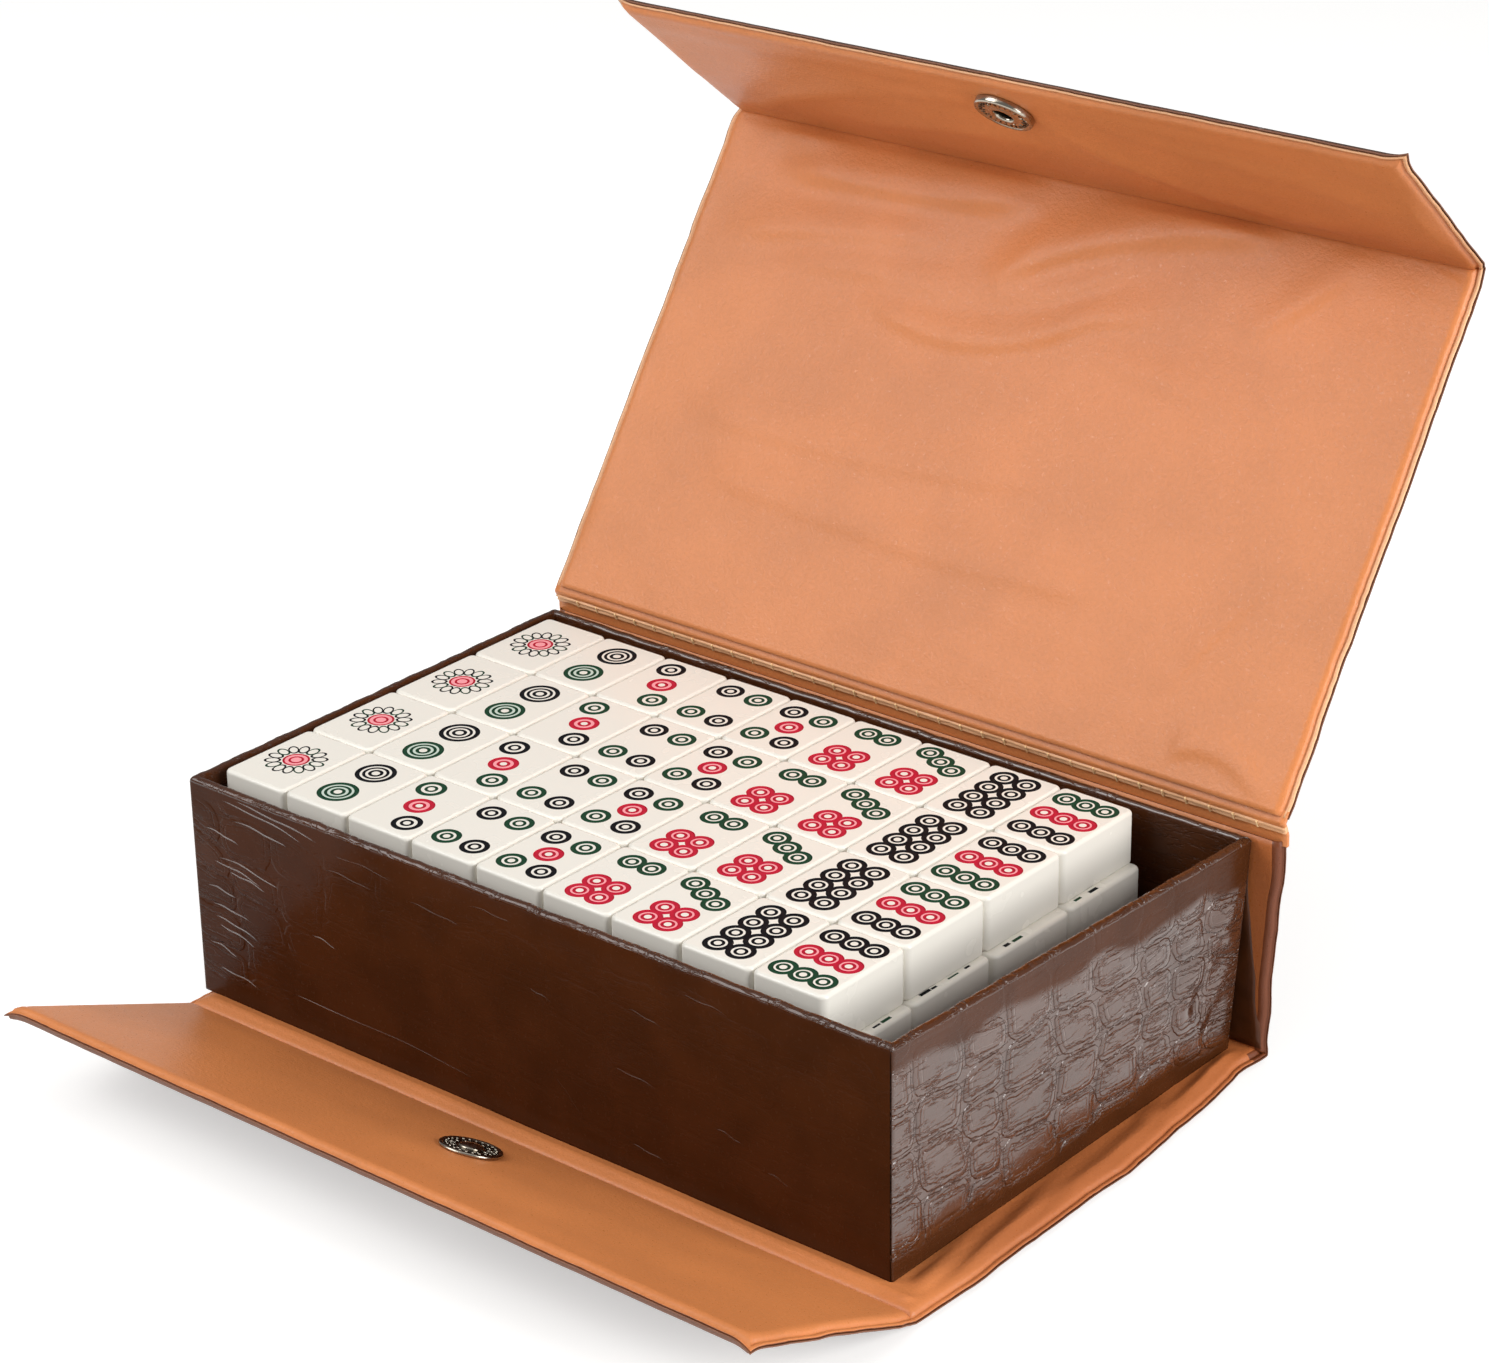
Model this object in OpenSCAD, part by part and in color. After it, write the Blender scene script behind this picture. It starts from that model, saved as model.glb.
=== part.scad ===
// Mahjong case: a rigid tray on a fold-round cover of five padded panels, closed by a magnetic snap
// Origin at the centre of the cover's underside, +Z up, +Y towards the spine, millimetres

/* [Cover] */
// Length of every panel of the cover, along X
cover_w = 274; // [240:1:300]
// Thickness of a padded panel
panel_t = 4.2; // [3.6:0.1:5]
// Base panel, from the lower flap's fold to the spine's fold
base_d = 173.4; // [172.8:0.1:175]
// Spine panel, from the base's fold to its top fold
spine_h = 74; // [73.5:0.1:75]
// How far the spine leans towards the tray, in degrees
spine_lean = 2.7; // [1:0.1:2.8]
// Strip between the two weld lines of the lid's hinge
strip_w = 4.6; // [4.2:0.1:5]
// Lid panel, from its hinge fold to the flap's fold
lid_d = 166.8; // [166:0.1:168]
// Lid flap, from its fold to its free edge
lid_flap_d = 71; // [66:0.5:71]
// Lower flap, from its fold to its free edge
lower_flap_d = 72; // [66:0.5:74]

/* [Open pose] */
// Direction of the hinge strip above the horizontal, in degrees
strip_angle = 114; // [100:1:120]
// Direction of the open lid above the horizontal, in degrees
lid_angle = 55.6; // [20:0.1:90]
// Angle that the lid flap makes with the lid, in degrees
flap_turn = 84.5; // [0:0.1:85]
// Rise of the lower flap above the horizontal, in degrees
lower_flap_rise = 22.5; // [0:0.5:30]

/* [Closed pose] */
// Turn of the hinge strip from the open pose to the closed one, in degrees
strip_closing = 47.5; // [40:0.5:50]
// Direction of the closed lid, in degrees
closed_lid = 179; // [178:0.1:180]
// Direction of the lower flap when it leans on the tray, in degrees
closed_lower = 85.35; // [84:0.05:90]

/* [Panel build] */
// Thickness of the stiff board inside a panel
board_t = 2.2; // [1.5:0.1:2.6]
// Board edge to panel edge
board_inset = 3; // [2.9:0.1:6]
// Width of the welded hem along a panel's free sides
hem_w = 2.2; // [1.6:0.1:2.2]
// Thickness of the hem
hem_t = 1.1; // [0.8:0.1:1.6]
// Thickness of a welded fold
fold_t = 1.2; // [0.8:0.1:1.6]
// Fold line to the padded edge of a panel
fold_gap = 2.2; // [2:0.1:3]
// Depth to which a fold is welded into a panel's edge
fold_weld = 1.6; // [1:0.1:2.4]
// Play round a fold where it enters a panel that it lets move
fold_play = 0.02; // [0:0.01:0.1]

/* [Tray] */
// Outer length of the tray
tray_w = 260; // [250:1:266]
// Outer depth of the tray
tray_d = 159; // [158:0.5:159]
// Height of the tray's rim above the base panel
tray_h = 70.5; // [70:0.1:71]
// Thickness of the tray's boards
tray_board = 2.2; // [2:0.1:3]
// Thickness of the wrap
wrap_t = 0.5; // [0.3:0.1:0.8]
// Tray centre to cover centre, along X
tray_x = -7.6; // [-8:0.1:8]
// Tray centre to the centre of the base panel, along Y
tray_y = 0.8; // [0:0.1:1]
// Width of the wrap turned in under the floor
wrap_turn_in = 14; // [8:1:30]

/* [Tiles] */
// Width of a tile
tile_w = 24.86; // [22:0.02:24.88]
// Length of a tile
tile_l = 35.3; // [30:0.1:35.6]
// Thickness of a tile
tile_t = 17; // [14:0.1:17]
// Rounding of a tile's corners, seen from above
tile_corner = 2.3; // [1:0.1:3]
// Rounding of a tile's top and bottom edges
tile_edge = 1.2; // [0.6:0.1:2]
// Column pitch of the stack
pitch_x = 25.04; // [25.04:0.02:25.4]
// Row pitch of the stack
pitch_y = 35.5; // [35.46:0.02:36]
// Gap from the tray's left wall to the stack
stack_left = 2.4; // [1:0.1:8]
// Gap from the tray's front wall to the stack
stack_front = 5.6; // [2:0.1:8]
// How far the layer under the top one stands out to the right, row by row
second_layer_shift = 2.6; // [0:0.1:4]

/* [Snap] */
// Diameter of the snap
snap_d = 18; // [14:0.5:20]
// Lower flap's fold to the snap's centre
snap_reach = 24.5; // [20:0.5:30]
// Height of the socket above the lining
socket_h = 2.7; // [2:0.1:2.8]
// Thickness of the stud's plate
stud_plate_t = 0.6; // [0.4:0.1:0.6]
// Diameter of the stud
stud_d = 4.8; // [4:0.1:5.4]
// Height of the stud
stud_h = 1.9; // [1.4:0.1:2.2]
// Diameter of the socket's mouth
mouth_d = 6.4; // [6:0.1:7]
// Diameter of the rivets
rivet_d = 3; // [2:0.1:3.4]

/* [Hidden] */
$fn = 64;

TAN = "#d0854f";
BROWN = "#4d2b17";
BOARD = "#a79f8e";
IVORY = "#f1eee2";
NICKEL = "#8d867b";

half_t = panel_t / 2;
big = 600;                       // longer than anything cut with it
fold_w = cover_w - 6;            // a fold stops short of the panels' ends
no_fold = -1;
own_fold = 0;                    // a fold of the panel's own body
wall_t = tray_board + 2 * wrap_t;
rim_r = wall_t / 2;
floor_z = 2 * wrap_t + tray_board;
columns = 9;
rows = 4;

function along(angle, d) = [0, d * cos(angle), d * sin(angle)];
function face_of(angle) = [0, -sin(angle), cos(angle)];   // a panel's lining side

// Fold lines of the cover, as points in the plane X = 0
lower_fold_at = [0, -base_d / 2, half_t];
spine_fold_at = [0, base_d / 2, half_t];
spine_angle = 90 + spine_lean;
strip_fold_at = spine_fold_at + along(spine_angle, spine_h);
lid_fold_at = strip_fold_at + along(strip_angle, strip_w);
crease_at = lid_fold_at + along(lid_angle, lid_d);
flap_angle = lid_angle + flap_turn;

// Where the snap sits on the lid flap, so that it meets the stud when the case is closed
closed_lid_fold = strip_fold_at + along(strip_angle + strip_closing, strip_w);
closed_crease = closed_lid_fold + along(closed_lid, lid_d);
closed_stud = lower_fold_at + along(closed_lower, snap_reach);
snap_from_crease = (closed_crease - closed_stud) * along(closed_lower, 1);

// ---------- places ----------

// Each panel lies along local +Y from its fold line, with its lining on local +Z
module at_spine() translate(spine_fold_at) rotate([spine_angle, 0, 0]) children();
module at_strip() translate(strip_fold_at) rotate([strip_angle, 0, 0]) children();
module at_lid() translate(lid_fold_at) rotate([lid_angle, 0, 0]) children();
module at_lid_flap() translate(crease_at) rotate([flap_angle, 0, 0]) children();
module at_lower_flap() translate(lower_fold_at) rotate([-lower_flap_rise, 0, 0]) mirror([0, 1, 0]) children();
module at_base() translate(lower_fold_at) children();
module at_tray() translate([tray_x - tray_w / 2, tray_y - tray_d / 2, panel_t]) children();

// ---------- padded panels ----------

// Section of a panel from a to b: round padded edges, and past them a thin hem where its width isn't 0
module panel_section(a, b, hem_a, hem_b) union() {
    pad_a = a + hem_a + half_t;
    pad_b = b - hem_b - half_t;
    translate([pad_a, -half_t]) square([pad_b - pad_a, panel_t]);
    for (x = [pad_a, pad_b]) translate([x, 0]) circle(r = half_t);
    if (hem_a > 0) translate([a, -hem_t / 2]) square([hem_a + panel_t, hem_t]);
    if (hem_b > 0) translate([pad_b - half_t, -hem_t / 2]) square([hem_b + panel_t, hem_t]);
}

// Outline of a panel from y0 to y1, hemmed left, right and, where asked, at y1; the corners are mitred
module panel_body(y0, y1, far_hem) intersection() {
    translate([-cover_w / 2, 0, 0]) rotate([90, 0, 90]) linear_extrude(cover_w)
        panel_section(y0, y1, 0, far_hem);
    translate([0, y1, 0]) rotate([90, 0, 0]) linear_extrude(y1 - y0)
        panel_section(-cover_w / 2, cover_w / 2, hem_w, hem_w);
}

module board_body(y0, y1, grow = 0) translate([-cover_w / 2 + board_inset - grow, y0 + board_inset - grow,
    -board_t / 2 - grow]) cube([cover_w - 2 * (board_inset - grow), y1 - y0 - 2 * (board_inset - grow),
    board_t + 2 * grow]);

// Rebate in a panel's edge for the fold that enters it there, with play all round; inward is 1 or -1
module fold_rebate(edge, inward, play) translate([-fold_w / 2 - play,
    inward > 0 ? edge - 1 : edge - fold_weld - play, -fold_t / 2 - play])
    cube([fold_w + 2 * play, fold_weld + 1 + play, fold_t + 2 * play]);

// Half of a panel's cover: the lining above the middle plane, or the skin below it.
// near_fold and far_fold are the play round the folds at its two ends; an end without a fold is hemmed
module sheet_half(y0, y1, up, near_fold = no_fold, far_fold = no_fold) difference() {
    intersection() {
        panel_body(y0, y1, far_fold >= 0 ? 0 : hem_w);
        translate([-big / 2, -big / 2, up ? 0 : -big]) cube(big);
    }
    board_body(y0, y1);
    if (near_fold >= 0) fold_rebate(y0, 1, near_fold);
    if (far_fold >= 0) fold_rebate(y1, -1, far_fold);
}

module rivet_hole(y) translate([0, y, -panel_t]) cylinder(d = rivet_d, h = 2 * panel_t);

// ---------- folds ----------

leaf = fold_gap + fold_weld;
strip_inset = 1.1;               // fold line to the hinge strip's edge

function unit(angle) = [cos(angle), sin(angle)];
function left_of(v) = [-v.y, v.x];

// Welded sheet bent along the fold line: leaf a and leaf b lie at these angles, mitred where they meet
module fold_sheet(angle_a, length_a, angle_b, length_b) {
    side_a = -left_of(unit(angle_a)) * fold_t / 2;
    side_b = left_of(unit(angle_b)) * fold_t / 2;
    mitre = (side_a + side_b) / (1 + side_a * side_b / pow(fold_t / 2, 2));
    end_a = unit(angle_a) * length_a;
    end_b = unit(angle_b) * length_b;
    translate([-fold_w / 2, 0, 0]) rotate([90, 0, 90]) linear_extrude(fold_w)
        polygon([end_a + side_a, mitre, end_b + side_b, end_b - side_b, -mitre, end_a - side_a]);
}

module base_spine_fold() color(TAN) translate(spine_fold_at) fold_sheet(180, leaf, spine_angle, leaf);
module spine_top_fold() color(TAN) translate(strip_fold_at)
    fold_sheet(spine_angle + 180, leaf, strip_angle, strip_inset);
module lid_fold() color(TAN) translate(lid_fold_at)
    fold_sheet(strip_angle + 180, strip_inset - fold_play, lid_angle, leaf);
module lid_flap_fold() color(TAN) translate(crease_at) fold_sheet(lid_angle + 180, leaf, flap_angle, leaf);
module lower_flap_fold() color(TAN) translate(lower_fold_at) fold_sheet(0, leaf, 180 - lower_flap_rise, leaf);

// The strip between the lid hinge's two weld lines, with a ridge along each of them
module hinge_strip() color(TAN) at_strip() intersection() {
    union() {
        translate([-fold_w / 2, strip_inset, -0.8]) cube([fold_w, strip_w - 2 * strip_inset, 1.6]);
        for (y = [strip_inset + 0.6, strip_w - strip_inset - 0.6]) translate([-fold_w / 2, y, 0.7])
            rotate([0, 90, 0]) cylinder(r = 0.55, h = fold_w);
    }
    translate([-big / 2, strip_inset, -big / 2]) cube([big, strip_w - 2 * strip_inset, big]);
}

// ---------- base, spine, lid and flaps ----------

base_y = [fold_gap, base_d - fold_gap];
spine_y = [fold_gap, spine_h - fold_gap];
lid_y = [fold_gap, lid_d - fold_gap];
lid_flap_y = [fold_gap, lid_flap_d];
lower_flap_y = [fold_gap, lower_flap_d];

module base_board() color(BOARD) at_base() board_body(base_y[0], base_y[1]);
module base_lining() color(TAN) at_base() sheet_half(base_y[0], base_y[1], true, fold_play, own_fold);
module base_skin() color(BROWN) at_base() sheet_half(base_y[0], base_y[1], false, fold_play, own_fold);

module spine_board() color(BOARD) at_spine() board_body(spine_y[0], spine_y[1]);
module spine_lining() color(TAN) at_spine() sheet_half(spine_y[0], spine_y[1], true, own_fold, fold_play);
module spine_skin() color(BROWN) at_spine() sheet_half(spine_y[0], spine_y[1], false, own_fold, fold_play);

module lid_board() color(BOARD) at_lid() board_body(lid_y[0], lid_y[1]);
module lid_lining() color(TAN) at_lid() sheet_half(lid_y[0], lid_y[1], true, own_fold, fold_play);
module lid_skin() color(BROWN) at_lid() sheet_half(lid_y[0], lid_y[1], false, own_fold, fold_play);

module lid_flap_board() color(BOARD) at_lid_flap() difference() {
    board_body(lid_flap_y[0], lid_flap_y[1]);
    rivet_hole(snap_from_crease);
}
module lid_flap_lining() color(TAN) at_lid_flap() difference() {
    sheet_half(lid_flap_y[0], lid_flap_y[1], true, own_fold);
    rivet_hole(snap_from_crease);
}
module lid_flap_skin() color(BROWN) at_lid_flap() difference() {
    sheet_half(lid_flap_y[0], lid_flap_y[1], false, own_fold);
    rivet_hole(snap_from_crease);
}

module lower_flap_board() color(BOARD) at_lower_flap() difference() {
    board_body(lower_flap_y[0], lower_flap_y[1]);
    rivet_hole(snap_reach);
}
module lower_flap_lining() color(TAN) at_lower_flap() difference() {
    sheet_half(lower_flap_y[0], lower_flap_y[1], true, own_fold);
    rivet_hole(snap_reach);
}
module lower_flap_skin() color(BROWN) at_lower_flap() difference() {
    sheet_half(lower_flap_y[0], lower_flap_y[1], false, own_fold);
    rivet_hole(snap_reach);
}

// ---------- magnetic snap ----------

snap_r = snap_d / 2;
magnet_h = socket_h - 1;
socket_wall = 0.5;
head_t = 0.5;                    // rivet head inside the socket

// Drawn cup with a rolled outer rim and a sunk mouth that the stud enters
module lid_snap_socket() color(NICKEL) at_lid_flap() translate([0, snap_from_crease, half_t])
rotate_extrude() union() {
    difference() {
        union() {
            translate([mouth_d / 2, 0]) square([snap_r - mouth_d / 2 - 0.9, socket_h - 0.4]);
            translate([snap_r - 0.9, 0.9]) circle(r = 0.9);
            translate([snap_r - 1.8, 0]) square([0.9, 0.9]);
            translate([snap_r - 0.9, socket_h - 0.9]) circle(r = 0.9);
            translate([snap_r - 0.9, 0.9]) square([0.9, socket_h - 1.8]);
        }
        translate([mouth_d / 2 + socket_wall, head_t])
            square([snap_r - mouth_d / 2 - 1.6 - socket_wall, magnet_h]);
    }
    translate([rivet_d / 2, 0]) square([mouth_d / 2 - rivet_d / 2 + 0.01, 0.3]);
}

module lid_snap_magnet() color("#3c3a38") at_lid_flap() translate([0, snap_from_crease, half_t + head_t])
    rotate_extrude() translate([mouth_d / 2 + socket_wall, 0])
    square([snap_r - mouth_d / 2 - 1.6 - socket_wall, magnet_h]);

// Tubular rivet that draws the snap and its cap together through the flap
module snap_rivet(y, up) translate([0, y, 0]) union() {
    translate([0, 0, -half_t]) cylinder(d = rivet_d, h = panel_t);
    if (up) translate([0, 0, half_t]) cylinder(d = rivet_d, h = head_t);
    if (!up) translate([0, 0, -half_t - stud_plate_t]) cylinder(d = rivet_d, h = stud_plate_t);
}

module lid_snap_rivet() color(NICKEL) at_lid_flap() snap_rivet(snap_from_crease, true);
module lower_snap_rivet() color(NICKEL) at_lower_flap() snap_rivet(snap_reach, false);

// Decorative cap: flat edge, sunk ring and domed middle
cap_t = 1.5;
dome_r = 7.2;
module snap_cap() rotate_extrude() union() {
    square([snap_r + 0.2 - cap_t / 2, cap_t * 0.62]);
    translate([snap_r + 0.2 - cap_t / 2, cap_t / 2]) circle(d = cap_t);
    translate([snap_r + 0.2 - cap_t, 0]) square([cap_t / 2, cap_t / 2]);
    intersection() {
        translate([0, cap_t + 0.5 - dome_r]) circle(r = dome_r);
        square([3.6, cap_t + 1]);
    }
}

module lid_snap_cap() color(NICKEL) at_lid_flap() translate([0, snap_from_crease, -half_t]) mirror([0, 0, 1])
    snap_cap();
module lower_snap_cap() color(NICKEL) at_lower_flap() translate([0, snap_reach, half_t]) snap_cap();

// Plate on the lower flap's outside, with the stud that the magnet holds
module lower_snap_stud() color(NICKEL) at_lower_flap() translate([0, snap_reach, -half_t]) mirror([0, 0, 1])
    rotate_extrude() union() {
        translate([rivet_d / 2, 0]) square([snap_r - 0.4 - rivet_d / 2, stud_plate_t]);
        translate([0, stud_plate_t]) square([stud_d / 2 - 0.5, stud_h]);
        translate([0, stud_plate_t]) square([stud_d / 2, stud_h - 0.5]);
        translate([stud_d / 2 - 0.5, stud_plate_t + stud_h - 0.5]) circle(r = 0.5);
    }

// ---------- tray ----------

board_top = tray_h - rim_r;      // the boards stop where the rim's rounding begins
board_z = wrap_t;

module long_board(y) translate([wrap_t, y, board_z])
    cube([tray_w - 2 * wrap_t, tray_board, board_top - board_z]);
module short_board(x) translate([x, wrap_t + tray_board, board_z])
    cube([tray_board, tray_d - 2 * wrap_t - 2 * tray_board, board_top - board_z]);

module tray_front_board() color(BOARD) at_tray() long_board(wrap_t);
module tray_back_board() color(BOARD) at_tray() long_board(tray_d - wrap_t - tray_board);
module tray_left_board() color(BOARD) at_tray() short_board(wrap_t);
module tray_right_board() color(BOARD) at_tray() short_board(tray_w - wrap_t - tray_board);
module tray_floor_board() color(BOARD) at_tray() translate([wall_t, wall_t, board_z])
    cube([tray_w - 2 * wall_t, tray_d - 2 * wall_t, tray_board]);
module tray_floor_lining() color(BROWN) at_tray() translate([wall_t, wall_t, board_z + tray_board])
    cube([tray_w - 2 * wall_t, tray_d - 2 * wall_t, wrap_t]);

// Section of one wall's wrap: turned in under the floor, up the outside, over the rim and down the inside
module wrap_section() difference() {
    union() {
        square([wrap_turn_in, wrap_t]);
        square([wall_t, board_top]);
        translate([rim_r, board_top]) circle(r = rim_r);
    }
    translate([wrap_t, board_z]) square([tray_board, board_top - board_z]);
}

// Wrap of a wall that lies along X, its ends cut at 45 degrees as the sheet is folded there
module wrapped_wall(length) intersection() {
    rotate([90, 0, 90]) linear_extrude(length) wrap_section();
    linear_extrude(tray_h + 1) polygon([
        [0, 0], [length, 0], [length - wrap_turn_in, wrap_turn_in], [wrap_turn_in, wrap_turn_in]
    ]);
}

module tray_wrap() color(BROWN) at_tray() union() {
    wrapped_wall(tray_w);
    translate([tray_w, tray_d, 0]) rotate(180) wrapped_wall(tray_w);
    translate([tray_w, 0, 0]) rotate(90) wrapped_wall(tray_d);
    translate([0, tray_d, 0]) rotate(-90) wrapped_wall(tray_d);
}

// ---------- tiles ----------

// Rectangle with round corners, its lower left corner at the origin
module round_rect(w, h, r) union() {
    translate([r, 0]) square([w - 2 * r, h]);
    translate([0, r]) square([w, h - 2 * r]);
    for (x = [r, w - r], y = [r, h - r]) translate([x, y]) circle(r = r);
}

// Block rounded along all twelve edges
module tile() intersection() {
    linear_extrude(tile_t) round_rect(tile_w, tile_l, tile_corner);
    rotate([90, 0, 90]) linear_extrude(tile_w) round_rect(tile_l, tile_t, tile_edge);
    translate([0, tile_l, 0]) rotate([90, 0, 0]) linear_extrude(tile_l) round_rect(tile_w, tile_t, tile_edge);
}

// Sideways stagger of one row in one layer; the top layer is straight
function stagger(row, layer) = layer == 3 ? 0
    : layer == 2 ? second_layer_shift + [0.3, -0.4, 0.7, 0.2][row]
    : 0.8 + 0.6 * ((row + layer) % 2);

module tile_at(column, row, layer) at_tray() translate([
    wall_t + stack_left + column * pitch_x + stagger(row, layer),
    wall_t + stack_front + row * pitch_y,
    floor_z + layer * tile_t]) tile();

module dots_column(n) color(IVORY) for (row = [0 : rows - 1]) tile_at(n - 1, row, 3);
module full_layer(layer) color(IVORY) for (row = [0 : rows - 1], column = [0 : columns - 1])
    tile_at(column, row, layer);
// Part of the bottom layer: tiles first to last, counted along the rows
module bottom_run(first, last) color(IVORY) for (i = [first : last])
    tile_at(i % columns, floor(i / columns), 0);

module tiles_1_dot() dots_column(1);
module tiles_2_dots() dots_column(2);
module tiles_3_dots() dots_column(3);
module tiles_4_dots() dots_column(4);
module tiles_5_dots() dots_column(5);
module tiles_6_dots() dots_column(6);
module tiles_7_dots() dots_column(7);
module tiles_8_dots() dots_column(8);
module tiles_9_dots() dots_column(9);
module bamboo_tiles() full_layer(2);
module character_tiles() full_layer(1);
module wind_tiles() bottom_run(0, 15);
module dragon_tiles() bottom_run(16, 27);
module flower_tiles() bottom_run(28, 35);

base_board();
base_lining();
base_skin();
spine_board();
spine_lining();
spine_skin();
lid_board();
lid_lining();
lid_skin();
lid_flap_board();
lid_flap_lining();
lid_flap_skin();
lower_flap_board();
lower_flap_lining();
lower_flap_skin();
base_spine_fold();
spine_top_fold();
hinge_strip();
lid_fold();
lid_flap_fold();
lower_flap_fold();
tray_front_board();
tray_back_board();
tray_left_board();
tray_right_board();
tray_floor_board();
tray_wrap();
tray_floor_lining();
lid_snap_socket();
lid_snap_magnet();
lid_snap_rivet();
lid_snap_cap();
lower_snap_stud();
lower_snap_rivet();
lower_snap_cap();
tiles_1_dot();
tiles_2_dots();
tiles_3_dots();
tiles_4_dots();
tiles_5_dots();
tiles_6_dots();
tiles_7_dots();
tiles_8_dots();
tiles_9_dots();
bamboo_tiles();
character_tiles();
wind_tiles();
dragon_tiles();
flower_tiles();
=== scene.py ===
"""Mahjong case: the looks of a tray of tiles on a fold-round leather-look cover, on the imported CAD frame."""
import math
from functools import partial

import bmesh
import bpy
import numpy as np
from bpy.props import FloatProperty, FloatVectorProperty, IntProperty, PointerProperty
from mathutils import Matrix, Vector
from mathutils.geometry import delaunay_2d_cdt


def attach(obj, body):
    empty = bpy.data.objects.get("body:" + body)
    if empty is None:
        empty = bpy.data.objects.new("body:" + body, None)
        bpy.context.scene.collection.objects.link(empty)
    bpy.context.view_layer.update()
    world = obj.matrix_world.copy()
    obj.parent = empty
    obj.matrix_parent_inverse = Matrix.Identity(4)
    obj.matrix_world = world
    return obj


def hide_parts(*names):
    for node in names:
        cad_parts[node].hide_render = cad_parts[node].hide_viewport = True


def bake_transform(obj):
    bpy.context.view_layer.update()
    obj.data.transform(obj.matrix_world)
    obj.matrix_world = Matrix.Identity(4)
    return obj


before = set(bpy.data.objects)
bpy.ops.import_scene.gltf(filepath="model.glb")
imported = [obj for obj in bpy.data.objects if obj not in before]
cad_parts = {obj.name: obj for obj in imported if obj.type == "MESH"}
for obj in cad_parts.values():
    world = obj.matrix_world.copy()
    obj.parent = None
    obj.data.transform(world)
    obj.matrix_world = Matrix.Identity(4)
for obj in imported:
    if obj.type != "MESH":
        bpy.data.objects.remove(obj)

bl_info = {
    "name": "Mahjong case",
    "version": (1, 0, 0),
    "blender": (4, 5, 0),
    "location": "View3D > Sidebar > Mahjong case",
    "description": "Makes the cover, tray, tiles and snap of a mahjong case",
    "category": "Object",
}


def linear(code):
    """The linear colour of an sRGB hex value."""
    parts = [int(code[i:i + 2], 16) / 255 for i in (1, 3, 5)]
    return tuple(c / 12.92 if c <= 0.04045 else ((c + 0.055) / 1.055) ** 2.4 for c in parts)


def length(name, millimetres, what):
    return FloatProperty(name=name, description=what, default=millimetres / 1000, unit="LENGTH",
                         subtype="DISTANCE", precision=5)


def angle(name, degrees, what):
    return FloatProperty(name=name, description=what, default=math.radians(degrees), unit="ROTATION",
                         subtype="ANGLE")


def colour(name, code, what):
    return FloatVectorProperty(name=name, description=what, default=linear(code), size=3, subtype="COLOR",
                               min=0, max=1)


def amount(name, value, what):
    return FloatProperty(name=name, description=what, default=value, min=0)


# ---------- what a user would change ----------

class MahjongCover(bpy.types.PropertyGroup):
    width: length("Width", 274, "Length of every panel along X")
    thick: length("Thickness", 4.2, "Thickness of a padded panel")
    base_depth: length("Base depth", 173.4, "Lower flap's fold to the spine's fold")
    spine_height: length("Spine height", 74, "Base's fold to the spine's top fold")
    strip_width: length("Strip width", 4.6, "Between the lid hinge's two weld lines")
    lid_depth: length("Lid depth", 166.8, "Lid's hinge fold to the flap's crease")
    lid_flap_depth: length("Lid flap depth", 71, "Crease to the free edge")
    lower_flap_depth: length("Lower flap depth", 72, "Fold to the free edge")
    spine_angle: angle("Spine angle", 92.7, "Direction of the spine above the horizontal")
    strip_angle: angle("Strip angle", 114, "Direction of the hinge strip")
    lid_angle: angle("Lid angle", 55.6, "Direction of the open lid")
    flap_turn: angle("Flap turn", 84.5, "Angle between lid and lid flap")
    lower_flap_rise: angle("Lower flap rise", 22.5, "Rise of the lower flap")
    hem: length("Hem", 1.7, "Width of the welded hem round the panels")
    tan: colour("Lining", "#d08049", "Tan satin lining")
    edge: colour("Skin edge", "#7d4d33", "Skin where it is pressed thin")
    pale: colour("Weld", "#e6b083", "Lining where it is pressed thin")
    brown: colour("Skin", "#4a2a17", "Dark brown crocodile-grain skin")


class MahjongTray(bpy.types.PropertyGroup):
    width: length("Width", 260, "Outer length along X")
    depth: length("Depth", 159, "Outer depth")
    height: length("Height", 70.5, "Rim above the base panel")
    wall: length("Wall", 3.2, "Wall with its wrap")
    at_x: length("Shift along X", -7.6, "Tray centre to cover centre")
    at_y: length("Shift along Y", 0.8, "Tray centre to the centre of the base")
    brown: colour("Wrap", "#44230f", "Dark brown crocodile-grain wrap")
    lean: length("Lean", 5.2, "How far the right wall leans out at its back top corner")


class MahjongTiles(bpy.types.PropertyGroup):
    width: length("Width", 24.86, "Width of a tile")
    length: length("Length", 35.3, "Length of a tile")
    thick: length("Thickness", 17, "Thickness of a tile")
    corner: length("Corner radius", 2.3, "Rounding of the corners seen from above")
    edge: length("Edge radius", 1.2, "Rounding of the top and bottom edges")
    pitch_x: length("Column pitch", 25.04, "Column pitch of the stack")
    pitch_y: length("Row pitch", 35.5, "Row pitch of the stack")
    left: length("Left gap", 2.4, "Left wall to the stack")
    front: length("Front gap", 5.6, "Front wall to the stack")
    shift: length("Second layer shift", 2.6, "Second layer to the right of the top one")
    groove: length("Engraving depth", 0.25, "Depth of the painted grooves")
    ivory: colour("Ivory", "#ece8de", "Ivory-coloured melamine")
    black: colour("Black", "#080a11", "Near-black paint")
    green: colour("Green", "#16402a", "Dark green paint")
    red: colour("Red", "#bd1c36", "Red paint")
    pink: colour("Pink", "#f29fa6", "Pink fill")
    mist: colour("Pale green", "#c3d2c6", "Pale green fill")


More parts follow.
